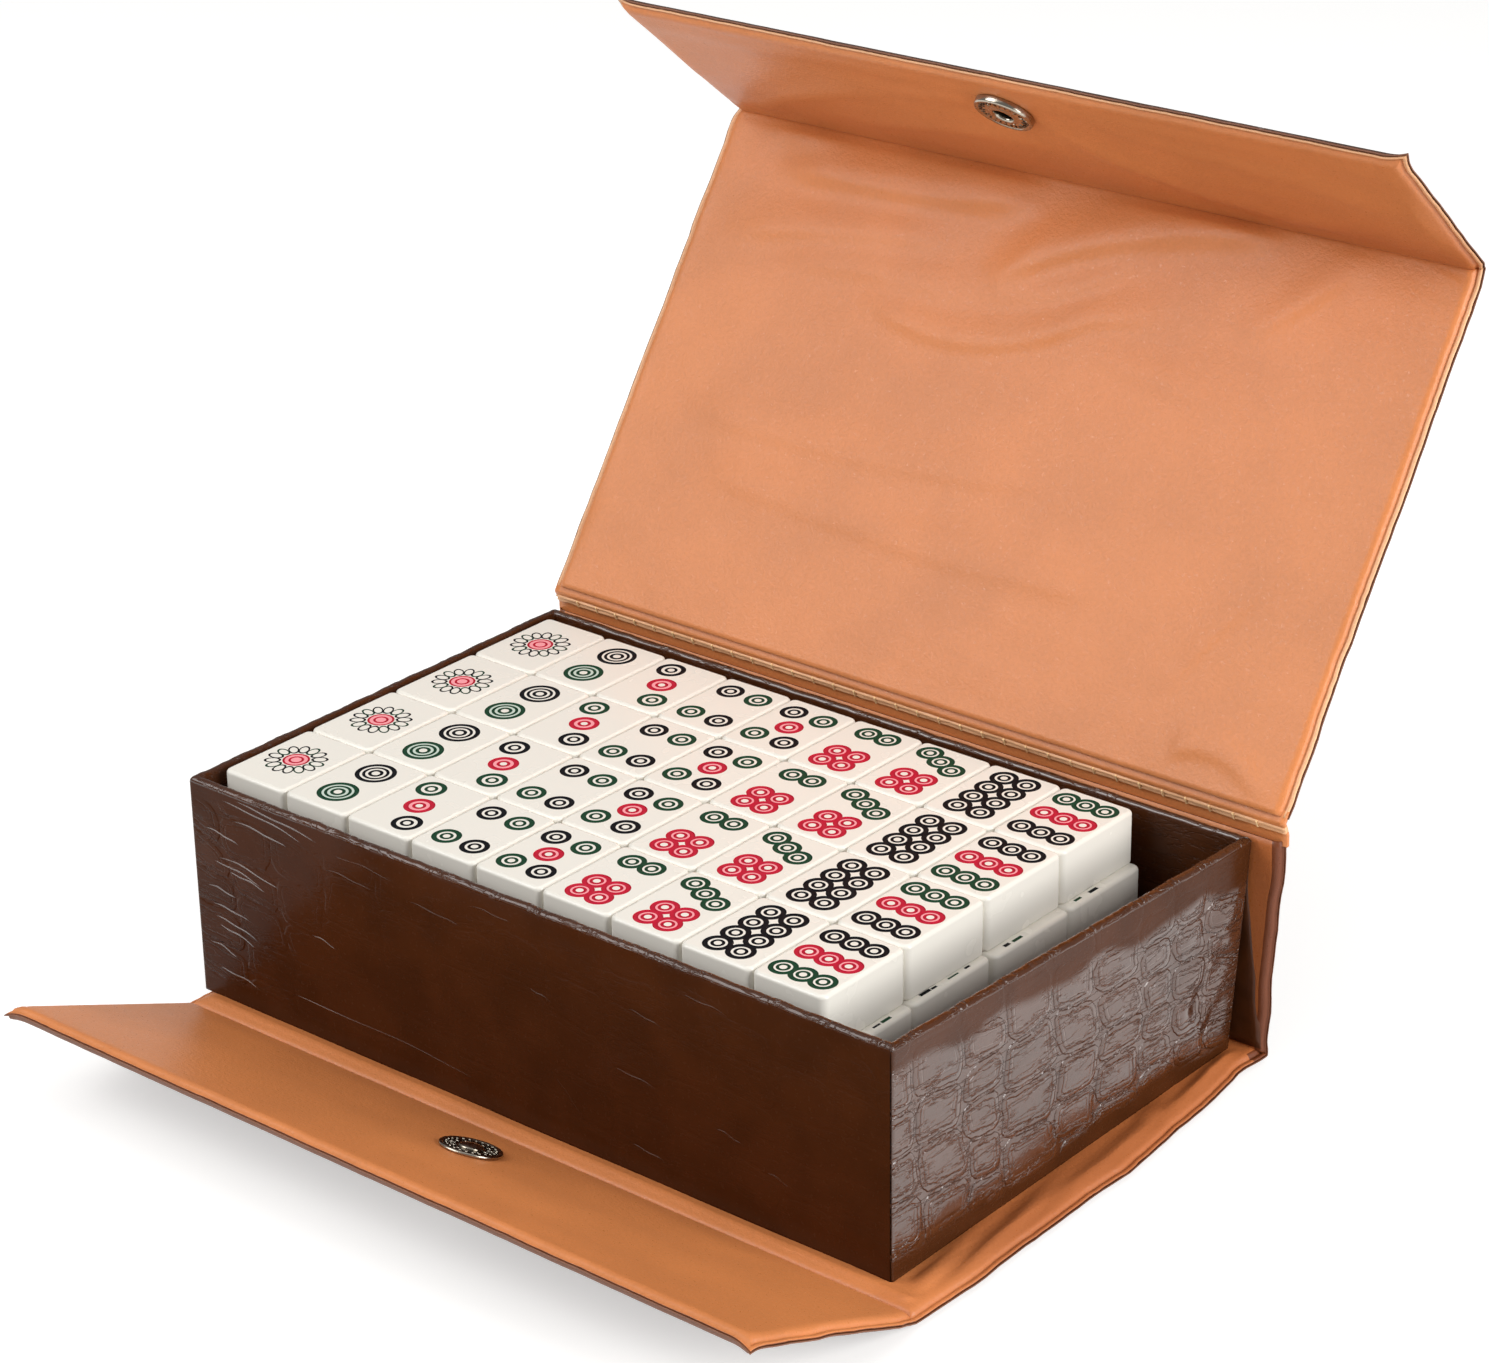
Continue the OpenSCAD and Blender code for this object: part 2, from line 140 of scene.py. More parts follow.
class MahjongSnap(bpy.types.PropertyGroup):
    diameter: length("Diameter", 18, "Diameter of the snap")
    reach: length("Reach", 24.5, "Lower flap's fold to the snap")
    ring_height: length("Ring height", 2.7, "Height of the socket above the lining")
    beads: IntProperty(name="Beads", description="Raised beads round the decorative cap", default=24, min=8,
                       max=60)
    metal: colour("Metal", "#a39b8e", "Nickel plate")


class MahjongStage(bpy.types.PropertyGroup):
    floor: colour("Floor", "#e9e8e6", "Pale floor")
    key: amount("Key light", 22, "Power of the front softbox in watts")
    top: amount("Top light", 11, "Power of the large overhead softbox in watts")
    fill: amount("Fill light", 36, "Power of the right softbox in watts")
    glow: amount("Floor glow", 0.45, "White added where the floor is seen")
    room: amount("Room", 0.28, "Strength of the dim studio all round")


def settings(part):
    return getattr(bpy.context.scene, "mahjong_" + part)


def mm(value):
    return value * 1000


# ---------- materials ----------

def fill(target, inputs):
    """Sets a node's inputs, or links them where a value is another node's output."""
    for name, value in inputs.items():
        if isinstance(value, bpy.types.NodeSocket):
            target.id_data.links.new(value, target.inputs[name])
        else:
            target.inputs[name].default_value = value


def node(tree, kind, *values, out=0, inputs=(), **props):
    """Adds a node with its properties, its first inputs in turn and others by name; gives one output."""
    new = tree.nodes.new(kind if "Node" in kind else "ShaderNode" + kind)
    for name, value in props.items():
        setattr(new, name, value)
    fill(new, {**dict(enumerate(values)), **dict(inputs)})
    return new.outputs[out] if new.outputs else new


def material(name, **surface):
    """(material, function that adds a node to it, Principled node, Object coordinates in millimetres)."""
    made = bpy.data.materials.new(name)
    made.use_nodes = True
    add, shader = partial(node, made.node_tree), made.node_tree.nodes["Principled BSDF"]
    fill(shader, {socket.replace("_", " "): value for socket, value in surface.items()})
    at = add("VectorMath", add("TexCoord", out="Object"), (1000,) * 3, operation="MULTIPLY")
    return made, add, shader, at


def noise_of(add, at, size, detail=2.0, span=None, to=(0.0, 1.0), stretch=(1, 1, 1), rough=0.5):
    """Noise whose features are about size millimetres wide; where span is given, it is spread over to."""
    scaled = add("VectorMath", at, tuple(s / size for s in stretch), operation="MULTIPLY")
    noise = add("TexNoise", inputs={"Vector": scaled, "Scale": 1.0, "Detail": detail, "Roughness": rough})
    return noise if span is None else add("MapRange", noise, *span, *to, interpolation_type="SMOOTHSTEP")


def shade(rgb, by=1.0, deep=1.0):
    """A colour and its alpha, made darker or lighter; deep below 1 takes more from its green and blue."""
    return (*(min(1, c * by * deep ** k) for k, c in enumerate(rgb[:3])), 1.0)


def mottled(name, first, second, cloud, rub=None, pebble=None, **surface):
    """A material that wanders between two tones. cloud is the size, detail and span of its noise, rub the
    same with the roughness that it brings, and pebble the size, detail, strength and depth of a bump."""
    made, add, shader, at = material(name, **surface)
    tone = add("Mix", noise_of(add, at, *cloud), out=2, inputs={6: first, 7: second}, data_type="RGBA")
    fill(shader, {"Base Color": tone})
    if rub:
        fill(shader, {"Roughness": noise_of(add, at, *rub)})
    if pebble:
        size, detail, strength, deep = pebble
        inputs = {"Strength": strength, "Distance": deep, "Height": noise_of(add, at, size, detail)}
        fill(shader, {"Normal": add("Bump", inputs=inputs)})
    return made


def satin_pvc(name, tone, grain=1.0):
    """Calendered PVC leather with a satin lacquer: a fine pebble breaks up the gloss and glints a little."""
    made, add, shader, at = material(name, Roughness=0.42, IOR=1.45, Coat_Weight=0.06, Coat_Roughness=0.3)
    fine = noise_of(add, at, 1.1, 3, rough=0.65)           # a 0.3 mm pebble, drawn coarser so that it shows
    cloud = add("Math", noise_of(add, at, 38, 3), 0.6, operation="MULTIPLY")
    mottle = add("Math", cloud, add("Math", fine, 0.4, operation="MULTIPLY"), operation="ADD")
    spread = add("MapRange", mottle, 0.3, 0.7, 0.0, 1.0, interpolation_type="SMOOTHSTEP")
    plain = add("Mix", spread, out=2, inputs={6: shade(tone, 0.9), 7: shade(tone, 1.07)}, data_type="RGBA")
    worn = add("Attribute", out="Fac", attribute_name="worn")                # painted shade: a deeper tan where the sheet lies in shade
    tone = add("Mix", worn, out=2, inputs={6: plain, 7: shade(tone, 0.55, 0.7)}, data_type="RGBA")
    bump = add("Bump", inputs={"Strength": 0.6 * grain, "Distance": 0.0003, "Height": fine})
    glint = noise_of(add, at, 0.7, 1, (0.58, 0.74), (0.46, 0.26))
    fill(shader, {"Base Color": tone, "Roughness": glint, "Normal": bump})
    return made


def crocodile_pvc(name, tone, relief=False):
    """PVC leather embossed with a crocodile grain: glossy flat scales between doubled creases. With relief
    the scales are in the mesh, and its border attribute, the millimetres to a scale's edge, places the
    creases."""
    made, add, shader, at = material(name, Roughness=0.2, IOR=1.45, Coat_Weight=0.3, Coat_Roughness=0.08)
    ramp = partial(add, "MapRange", interpolation_type="SMOOTHSTEP")
    if relief:
        labels = ("border", "scales", "gloss")
        edge, depth, gloss = (add("Attribute", out="Fac", attribute_name=n) for n in labels)
        fill(shader, {"Coat Weight": ramp(gloss, 0, 1, 0.02, 0.95),
                      "Specular IOR Level": ramp(gloss, 0, 1, 0.07, 0.6)})
        unit = 1.0
    else:
        sway = add("TexNoise", out="Color", inputs={"Vector": at, "Scale": 0.035, "Detail": 2.0})
        moved = add("VectorMath", sway, (16, 16, 10), at, operation="MULTIPLY_ADD")
        scale = (21, 15, 15)                               # size of a scale in millimetres
        cells = add("VectorMath", moved, tuple(1 / size for size in scale), operation="MULTIPLY")
        edge = add("TexVoronoi", inputs={"Vector": cells, "Scale": 1.0, "Randomness": 0.55},
                   feature="DISTANCE_TO_EDGE")
        unit = 0.055
    wobble = add("Math", noise_of(add, at, 3.5, 2), 0.5, operation="SUBTRACT")
    edge = add("Math", edge, add("Math", wobble, 1.6 * unit, operation="MULTIPLY"), operation="ADD")
    height = ramp(edge, 0.15 * unit, 0.75 * unit)                            # the crease between two scales
    for middle, share in ((2.3, 0.45), (3.8, 0.12)):                         # fainter creases alongside it
        rise = ramp(edge, (middle - 0.35) * unit, middle * unit)
        line = add("Math", rise, ramp(edge, middle * unit, (middle + 0.35) * unit), operation="SUBTRACT")
        height = add("Math", line, -share, height, operation="MULTIPLY_ADD")
    wrinkles = noise_of(add, at, 6, 3, stretch=(0.4, 0.4, 2.4), rough=0.6)
    crease = add("Math", ramp(wrinkles, 0.47, 0.5), ramp(wrinkles, 0.5, 0.53), operation="SUBTRACT")
    crease = add("Math", crease, ramp(edge, 3 * unit, 7.5 * unit, 1.0, 0.0), operation="MULTIPLY")
    height = add("Math", crease, -0.5, height, operation="MULTIPLY_ADD")
    if relief:
        height = add("Math", height, depth, operation="MULTIPLY")
    pebble = noise_of(add, at, 1.6, 3, rough=0.6)
    height = add("Math", pebble, 0.07, height, operation="MULTIPLY_ADD")
    bump = add("Bump", inputs={"Strength": 0.9, "Distance": 0.0005, "Height": height})
    tone = add("Mix", noise_of(add, at, 18, 4, (0.3, 0.7)), out=2,
               inputs={6: shade(tone, 0.86), 7: shade(tone, 1.12)}, data_type="RGBA")
    fill(shader, {"Base Color": tone, "Roughness": ramp(pebble, 0.3, 0.75, 0.16, 0.3), "Normal": bump,
                  "Coat Normal": bump})
    return made


def plain_pvc():
    """Smooth dark brown PVC sheet inside the tray, with faint rubbing marks."""
    tone = settings("tray").brown
    return mottled("plain_pvc_dark_brown", shade(tone), shade(tone, 1.5), (9, 4, (0.3, 0.7)),
                   (3, 4, (0.3, 0.7), (0.3, 0.46)), (2.2, 3, 0.3, 0.0002), Roughness=0.38, IOR=1.5,
                   Specular_IOR_Level=0.3)


def melamine():
    """Polished melamine: ivory with a faint flow of tone."""
    tone = settings("tiles").ivory
    return mottled("polished_melamine_ivory", shade(tone, 0.985), shade(tone), (30, 2),
                   (9, 2, (0.3, 0.7), (0.22, 0.28)), Roughness=0.24, IOR=1.5)


def enamel(name, tone):
    """Enamel paint wiped into an engraved groove: even, a little paler in specks."""
    paler = [0.95 * c + 0.008 for c in tone]
    return mottled("groove_enamel_" + name, shade(tone), shade(paler), (0.9, 2, (0.35, 0.75)), Roughness=0.55,
                   IOR=1.3, Specular_IOR_Level=0.25)


def nickel(name, dark):
    """Nickel plate, tumbled: bright on what stands proud, dark in what is sunk where it was antiqued."""
    tone = settings("snap").metal
    return mottled(name, shade(tone, dark), shade(tone, min(1, dark * 1.5)), (1.4, 3, (0.35, 0.7)),
                   (1.4, 3, (0.3, 0.7), (0.1, 0.28)), Metallic=1.0, Roughness=0.2)


def greyboard():
    """Raw grey board: pulp fibres, dull."""
    return mottled("greyboard", shade(linear("#948c7c")), shade(linear("#aaa292")), (2, 4), Roughness=0.9,
                   IOR=1.45)


def ferrite():
    """Pressed ferrite: matt black with fine pores."""
    return mottled("ferrite_black", shade(linear("#232121")), shade(linear("#3a3736")), (0.8, 3),
                   Roughness=0.65, IOR=1.6)


# ---------- meshes ----------

def piece(name, points, faces, materials, index=None, smooth=True):
    """A mesh object from points in millimetres; a closed mesh that is inside out is turned."""
    points = np.asarray(points, float) / 1000
    mesh = bpy.data.meshes.new(name)
    mesh.from_pydata(points.tolist(), [], [list(map(int, f)) for f in faces])
    volume = 0.0
    for polygon in mesh.polygons:
        volume += polygon.center.dot(polygon.normal) * polygon.area
    if volume < 0:
        mesh.flip_normals()
    for m in materials:
        mesh.materials.append(m)
    if index is not None:
        mesh.polygons.foreach_set("material_index", np.asarray(index, np.int32))
    soft = np.full(len(mesh.polygons), smooth) if np.isscalar(smooth) else smooth
    mesh.polygons.foreach_set("use_smooth", soft)
    mesh.update()
    made = bpy.data.objects.new(name, mesh)
    bpy.context.scene.collection.objects.link(made)
    return made


def grid_faces(rows, columns, start=0, flip=False, close_rows=False, close_columns=False):
    i = np.arange(rows if close_rows else rows - 1)[:, None]
    j = np.arange(columns if close_columns else columns - 1)[None, :]
    a = i * columns + j
    b = i * columns + (j + 1) % columns
    c = (i + 1) % rows * columns + (j + 1) % columns
    d = (i + 1) % rows * columns + j
    quads = np.stack([a, b, c, d], -1).reshape(-1, 4) + start
    return quads[:, ::-1] if flip else quads


def shell(name, outer, inner, materials, index=None):
    """Closed sheet between two grids of points of the same size. Without index the inner side has the last
    material."""
    rows, columns = outer.shape[:2]
    count = rows * columns
    edge = np.concatenate([np.arange(columns), np.arange(1, rows) * columns + columns - 1,
                           (rows - 1) * columns + np.arange(columns - 1)[::-1],
                           np.arange(1, rows - 1)[::-1] * columns])
    after = np.roll(edge, -1)
    rim = np.stack([after, edge, edge + count, after + count], -1)
    faces = np.concatenate([grid_faces(rows, columns), grid_faces(rows, columns, count, True), rim])
    if index is None:
        each = (rows - 1) * (columns - 1)
        index = np.repeat([0, len(materials) - 1, 0], [each, each, len(rim)])
    else:
        index = np.concatenate([index.reshape(-1), index.reshape(-1), np.full(len(rim), index.max())])
    return piece(name, np.concatenate([outer.reshape(-1, 3), inner.reshape(-1, 3)]), faces, materials, index)


def value_noise(x, y, seed=0):
    """Smooth noise from -1 to 1, one feature for each unit of x and y."""
    x, y = np.asarray(x, float), np.asarray(y, float)
    xi, yi = np.floor(x), np.floor(y)
    u, v = x - xi, y - yi
    u, v = u * u * (3 - 2 * u), v * v * (3 - 2 * v)

    def corner(i, j):
        h = np.sin((xi + i) * 127.1 + (yi + j) * 311.7 + seed * 74.7) * 43758.5453
        return 2 * (h - np.floor(h)) - 1
    return (corner(0, 0) * (1 - u) * (1 - v) + corner(1, 0) * u * (1 - v)
            + corner(0, 1) * (1 - u) * v + corner(1, 1) * u * v)


def shoulder(t):
    """Quarter-round rise from 0 to 1."""
    t = np.clip(t, 0, 1)
    return np.sqrt(1 - (1 - t) ** 2)


def smooth(t):
    """Soft step from 0 to 1."""
    t = np.clip(t, 0, 1)
    return t * t * (3 - 2 * t)


def bell(x, centre, width):
    """Rounded bump of height 1."""
    return np.exp(-((x - centre) / width) ** 2)


# Distances, in millimetres, at which a grid has a line beside a free edge and beside a fold
EDGE_STEPS = (0, 0.12, 0.3, 0.6, 1.0, 1.4, 1.8, 2.1, 2.4, 2.8, 3.3, 4.0, 5.0, 6.4)
FOLD_STEPS = np.array([0, 0.35, 0.7, 1.1, 1.5, 1.9, 2.3, 2.8, 3.4, 4.2, 5.2])


def spaced(total, step, ends=(True, True), folds=()):
    """Positions along a side, closer together near its ends and its folds."""
    marks = [np.arange(0, total, step), [total]]
    if ends[0]:
        marks.append(EDGE_STEPS)
    if ends[1]:
        marks.append(total - np.array(EDGE_STEPS))
    for fold in folds:
        marks += [fold - FOLD_STEPS, fold + FOLD_STEPS]
    marks = np.unique(np.round(np.concatenate(marks), 3))
    marks = marks[(marks >= 0) & (marks <= total)]
    keep = [marks[0]]
    for m in marks[1:]:
        if m - keep[-1] > 0.1:
            keep.append(m)
    keep[-1] = total
    return np.array(keep)


def repeat_tree():
    """Geometry Nodes that repeat a shape: each copy is a Step further on and turned by Turn more round Z."""
    if "repeat" in bpy.data.node_groups:
        return bpy.data.node_groups["repeat"]
    tree = bpy.data.node_groups.new("repeat", "GeometryNodeTree")
    for label, kind in (("Geometry", "Geometry"), ("Count", "Int"), ("Step", "Vector"), ("Turn", "Float"),
                        ("Material", "Material")):
        tree.interface.new_socket(label, in_out="INPUT", socket_type="NodeSocket" + kind)
    tree.interface.new_socket("Geometry", in_out="OUTPUT", socket_type="NodeSocketGeometry")
    given, out = tree.nodes.new("NodeGroupInput").outputs, tree.nodes.new("NodeGroupOutput")
    add = partial(node, tree)
    line = add("GeometryNodeMeshLine", inputs={"Count": given["Count"], "Offset": given["Step"]})
    spin = add("Math", add("GeometryNodeInputIndex"), given["Turn"], operation="MULTIPLY")
    copies = add("GeometryNodeInstanceOnPoints", inputs={"Points": line, "Instance": given["Geometry"],
                                                         "Rotation": add("CombineXYZ", inputs={"Z": spin})})
    real = add("GeometryNodeRealizeInstances", copies)
    fill(out, {0: add("GeometryNodeSetMaterial", real, inputs={"Material": given["Material"]})})
    return tree


def repeated(shape, **inputs):
    """The plain mesh object that the repeat tree makes of a shape; the shape itself is removed."""
    tree = repeat_tree()
    sockets = {s.name: s.identifier for s in tree.interface.items_tree if s.in_out == "INPUT"}
    modifier = shape.modifiers.new("repeat", "NODES")
    modifier.node_group = tree
    for label, value in inputs.items():
        modifier[sockets[label]] = value
    bpy.context.view_layer.update()
    mesh = bpy.data.meshes.new_from_object(shape.evaluated_get(bpy.context.evaluated_depsgraph_get()))
    name = shape.name
    bpy.data.objects.remove(shape)
    mesh.name = name
    made = bpy.data.objects.new(name, mesh)
    bpy.context.scene.collection.objects.link(made)
    return made


def ring_of(shape, count, distance, height, finish):
    """A shape repeated in a ring round Z, at a distance and a height in millimetres."""
    shape.data.transform(Matrix.Translation((distance / 1000, 0, height / 1000)))
    return repeated(shape, Count=count, Turn=2 * math.pi / count, Material=finish)


def join(name, objects):
    """One object of several, with their materials."""
    materials, points, faces, index, soft, start = [], [], [], [], [], 0
    for o in objects:
        mesh = o.data
        slots = []
        for m in mesh.materials:
            if m not in materials:
                materials.append(m)
            slots.append(materials.index(m))
        co = np.empty(len(mesh.vertices) * 3)
        mesh.vertices.foreach_get("co", co)
        points.append(co.reshape(-1, 3) * 1000)
        for polygon in mesh.polygons:
            faces.append([v + start for v in polygon.vertices])
            index.append(slots[polygon.material_index] if slots else 0)
            soft.append(polygon.use_smooth)
        start += len(mesh.vertices)
    for o in objects:
        bpy.data.objects.remove(o)
    return piece(name, np.concatenate(points), faces, materials, index, soft)


def put(obj, origin, across=(1, 0, 0), along=(0, 1, 0), up=(0, 0, 1)):
    """Moves an object's mesh, made round the origin with its top on +Z, to a place in the shared frame."""
    place = Matrix((across, along, up)).transposed().to_4x4()
    place.translation = Vector(origin) / 1000
    obj.data.transform(place)
    obj.data.update()
    return obj


def lathe(name, profile, segments, materials):
    """Closed turned shape; the profile runs from the axis round to the axis, or round a ring's section."""
    turned = []
    t = np.arange(segments) * 2 * math.pi / segments
    for r, z in profile:
        turned.append(np.stack([r * np.cos(t), r * np.sin(t), np.full(segments, z)], -1))
    if profile[0][0] > 0:
        faces = grid_faces(len(profile), segments, close_rows=True, close_columns=True)
        return piece(name, np.concatenate(turned), faces, materials)
    points = np.concatenate([[[0, 0, profile[0][1]]], *turned[1:-1], [[0, 0, profile[-1][1]]]])
    body = grid_faces(len(profile) - 2, segments, 1, close_columns=True)
    last = len(points) - 1
    k = np.arange(segments)
    after = (k + 1) % segments
    first_cap = np.stack([1 + after, 1 + k, np.zeros(segments, int)], -1)
    base = 1 + (len(profile) - 3) * segments
    last_cap = np.stack([base + k, base + after, np.full(segments, last)], -1)
    return piece(name, points, [*body, *first_cap, *last_cap], materials)


def weld(obj, within=2e-6):
    """Merges the points of a mesh that meet and turns its faces outwards."""
    work = bmesh.new()
    work.from_mesh(obj.data)
    bmesh.ops.remove_doubles(work, verts=work.verts, dist=within)
    bmesh.ops.recalc_face_normals(work, faces=work.faces)
    work.to_mesh(obj.data)
    work.free()


def attribute(obj, name, values):
    """A number for each point of a mesh, for its material to read."""
    obj.data.attributes.new(name, "FLOAT", "POINT").data.foreach_set(
        "value", np.ascontiguousarray(values, np.float32).reshape(-1))


def carry(obj, body, slot, *nodes):
    """The piece rides on a body and stands for the nodes named; slot is not used."""
    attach(obj, body)
    if nodes:
        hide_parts(*nodes)


def repaint(name, finish):
    """Gives a CAD node another material."""
    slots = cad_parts[name].data.materials
    slots.clear()
    slots.append(finish)


def rounded_bar(name, w, d, h, finish, corner=0.4):
    """Small bar centred on the origin with its top edges taken off."""
    points = []
    for z, inset in ((-h / 2, 0), (h / 2 * 0.4, 0), (h / 2, corner * w)):
        a, b = w / 2 - inset, d / 2 - inset
        points += [(-a, -b, z), (a, -b, z), (a, b, z), (-a, b, z)]
    faces = [(3, 2, 1, 0), (8, 9, 10, 11)]
    for level in (0, 4):
        for k in range(4):
            m = (k + 1) % 4
            faces.append((level + k, level + m, level + 4 + m, level + 4 + k))
    return piece(name, points, faces, [finish], smooth=False)


# ---------- the cover's section, in the plane of Y and Z ----------

def along(turn):
    """Unit vector (y, z) at an angle above the horizontal."""
    return np.array([math.cos(turn), math.sin(turn)])


def fold_lines():
    """Fold points of the cover as (y, z), in millimetres."""
    c = settings("cover")
    half = mm(c.thick) / 2
    low = np.array([-mm(c.base_depth) / 2, half])
    spine = np.array([mm(c.base_depth) / 2, half])
    strip = spine + along(c.spine_angle) * mm(c.spine_height)
    lid = strip + along(c.strip_angle) * mm(c.strip_width)
    crease = lid + along(c.lid_angle) * mm(c.lid_depth)
    return {"low": low, "spine": spine, "strip": strip, "lid": lid, "crease": crease}


def on_path(start, legs, s, x, h, ease=1.2):
    """Points at distance s along a folded path, x across it and h above its middle on the lining's side."""
    ends = np.cumsum([0] + [leg for _, leg in legs])
    s = np.asarray(s, float)
    turn = np.full(s.shape, legs[0][0])
    at = np.zeros(s.shape + (2,))
    corner = np.array(start, float)
    for k, (a, leg) in enumerate(legs):
        inside = (s >= ends[k]) if k == len(legs) - 1 else (s >= ends[k]) & (s < ends[k + 1])
        if k == 0:
            inside |= s < 0
        at[inside] = corner + (s[inside, None] - ends[k]) * along(a)
        corner = corner + along(a) * leg
        if k:
            turn = turn + (a - legs[k - 1][0]) * smooth((s - ends[k] + ease) / (2 * ease))
    y = at[..., 0] - np.sin(turn) * h
    z = at[..., 1] + np.cos(turn) * h
    return np.stack([x + 0 * s, y, z], -1)


def pad(e, f, full, hem, flange=0.55):
    """Height of a padded sheet: e in from the hem's edge, f from the nearest fold line, hem its width."""
    body = shoulder((e - hem) / 2.6) * shoulder((f - 0.35) / 2.4)
    lip = flange + 0.14 * bell(e, hem * 0.45, 0.45) - 0.4 * bell(e, hem - 0.1, 0.4)
    lip = 0.05 + (np.maximum(lip, 0.12) - 0.05) * shoulder((e + 0.1) / 0.4)
    return lip + (full - lip) * body


# Folds of the lid's lining, read off the photograph: x and distance from the hinge of the crest's start,
# middle and end, width of its lower side and height in millimetres; a negative height is a hollow
LID_WRINKLES = [
    (-103, 151, -62, 152, -18, 156, 4.6, 2.0), (-118, 160, -105, 161, -92, 162, 4.0, 0.9),
    (-16, 134, 22, 152, 66, 161, 4.6, 1.9), (-20, 126, 8, 133, 30, 146, 3.0, 0.6),
    (-115, 128, -82, 134, -44, 138, 3.8, 1.0), (-90, 122, -60, 124, -28, 123, 3.4, 0.7),
    (-56, 114, -14, 111, 12, 120, 3.2, 0.9), (8, 118, 22, 126, 40, 129, 3.0, 0.8),
    (22, 117, 44, 113, 70, 110, 3.2, 0.45), (74, 134, 88, 146, 100, 158, 4.0, 0.8),
    (-105, 68, -58, 67, 20, 73, 3.6, 0.5), (-92, 50, -30, 46, 52, 46, 3.6, 0.5),
    (-128, 28, -98, 17, -60, 16, 3.0, 0.4), (-95, 13, -30, 15, 40, 12, 3.0, 0.4),
    (92, 8, 112, 13, 126, 6, 2.6, 0.8), (88, 30, 96, 45, 106, 60, 4.0, 0.4),
]

# Folds of the flap's lining, from the crease on
FLAP_WRINKLES = [
    (-118, 12, -92, 30, -58, 44, 5.0, 0.9), (-70, 18, -36, 30, 2, 34, 5.0, 0.8),
    (16, 44, 44, 26, 104, 20, 6.0, 1.1), (-40, 50, -18, 54, 6, 50, 4.0, 0.7),
    (30, 56, 70, 50, 118, 40, 5.0, 0.6),
]


def crocodile(u, v, seed):
    """(height, distance in from the edge of a scale) of a crocodile grain over a wall, in millimetres.
    Scales stand in wavering columns and are cut across at heights of their own in each column."""
    rng = np.random.default_rng(seed)
    marks = np.cumsum(rng.uniform(15, 23, 40)) - 40
    tall, offset = rng.uniform(10, 16, 41), rng.uniform(0, 16, 41)
    across = u + 2.4 * value_noise(u / 28, v / 18, seed) + 0.8 * value_noise(u / 8, v / 7, seed + 1) + 0.1 * v
    k = np.clip(np.searchsorted(marks, across), 1, 39)
    du = np.minimum(across - marks[k - 1], marks[k] - across)
    up = v + 1.8 * value_noise(u / 13, v / 12, seed + 2) + 0.07 * u + offset[k]
    part = up / tall[k] - np.floor(up / tall[k])
    dv = np.minimum(part, 1 - part) * tall[k]
    round_r = 4.2
    inset = round_r - np.hypot(np.maximum(round_r - du, 0), np.maximum(round_r - dv, 0))
    d = np.where((du < round_r) & (dv < round_r), inset, np.minimum(du, dv))
    rough = value_noise(u / 5, v / 1.5, seed + 3) * np.exp(-np.maximum(d, 0) / 3.2)
    swell = (0.08 + 1.0 * smooth((u - 512) / 30)) * value_noise(u / 9, v / 8, seed + 4)
    return 0.2 * smooth(d / 1.8) + 0.05 * (1 - np.exp(-np.maximum(d, 0) / 4)) + 0.03 * rough + swell, d


def ridges(x, s, lines, ends=12, sag=1.0):
    """Sum of soft ridges along curves through three points, fading at their ends; sag widens the far side."""
    total = np.zeros(np.broadcast(x, s).shape)
    for x0, s0, x1, s1, x2, s2, width, tall in lines:
        t = np.clip((x - x0) / (x2 - x0), 0, 1)
        m = (x1 - x0) / (x2 - x0)
        bow = (s1 - s0 - (s2 - s0) * m) / (m * (1 - m))
        centre = s0 + (s2 - s0) * t + bow * t * (1 - t)
        fade = smooth((x - x0 + ends) / (2 * ends)) * smooth((x2 + ends - x) / (2 * ends))
        total += tall * fade * bell(s, centre, np.where(s > centre, width * sag, width))
    return total


SHEET = 0.45                                               # thickness of a drawn lining or skin
LINING_HEM = {True: 0.35, False: 0.7}                      # hem's share at the lower and the lid flap's edge


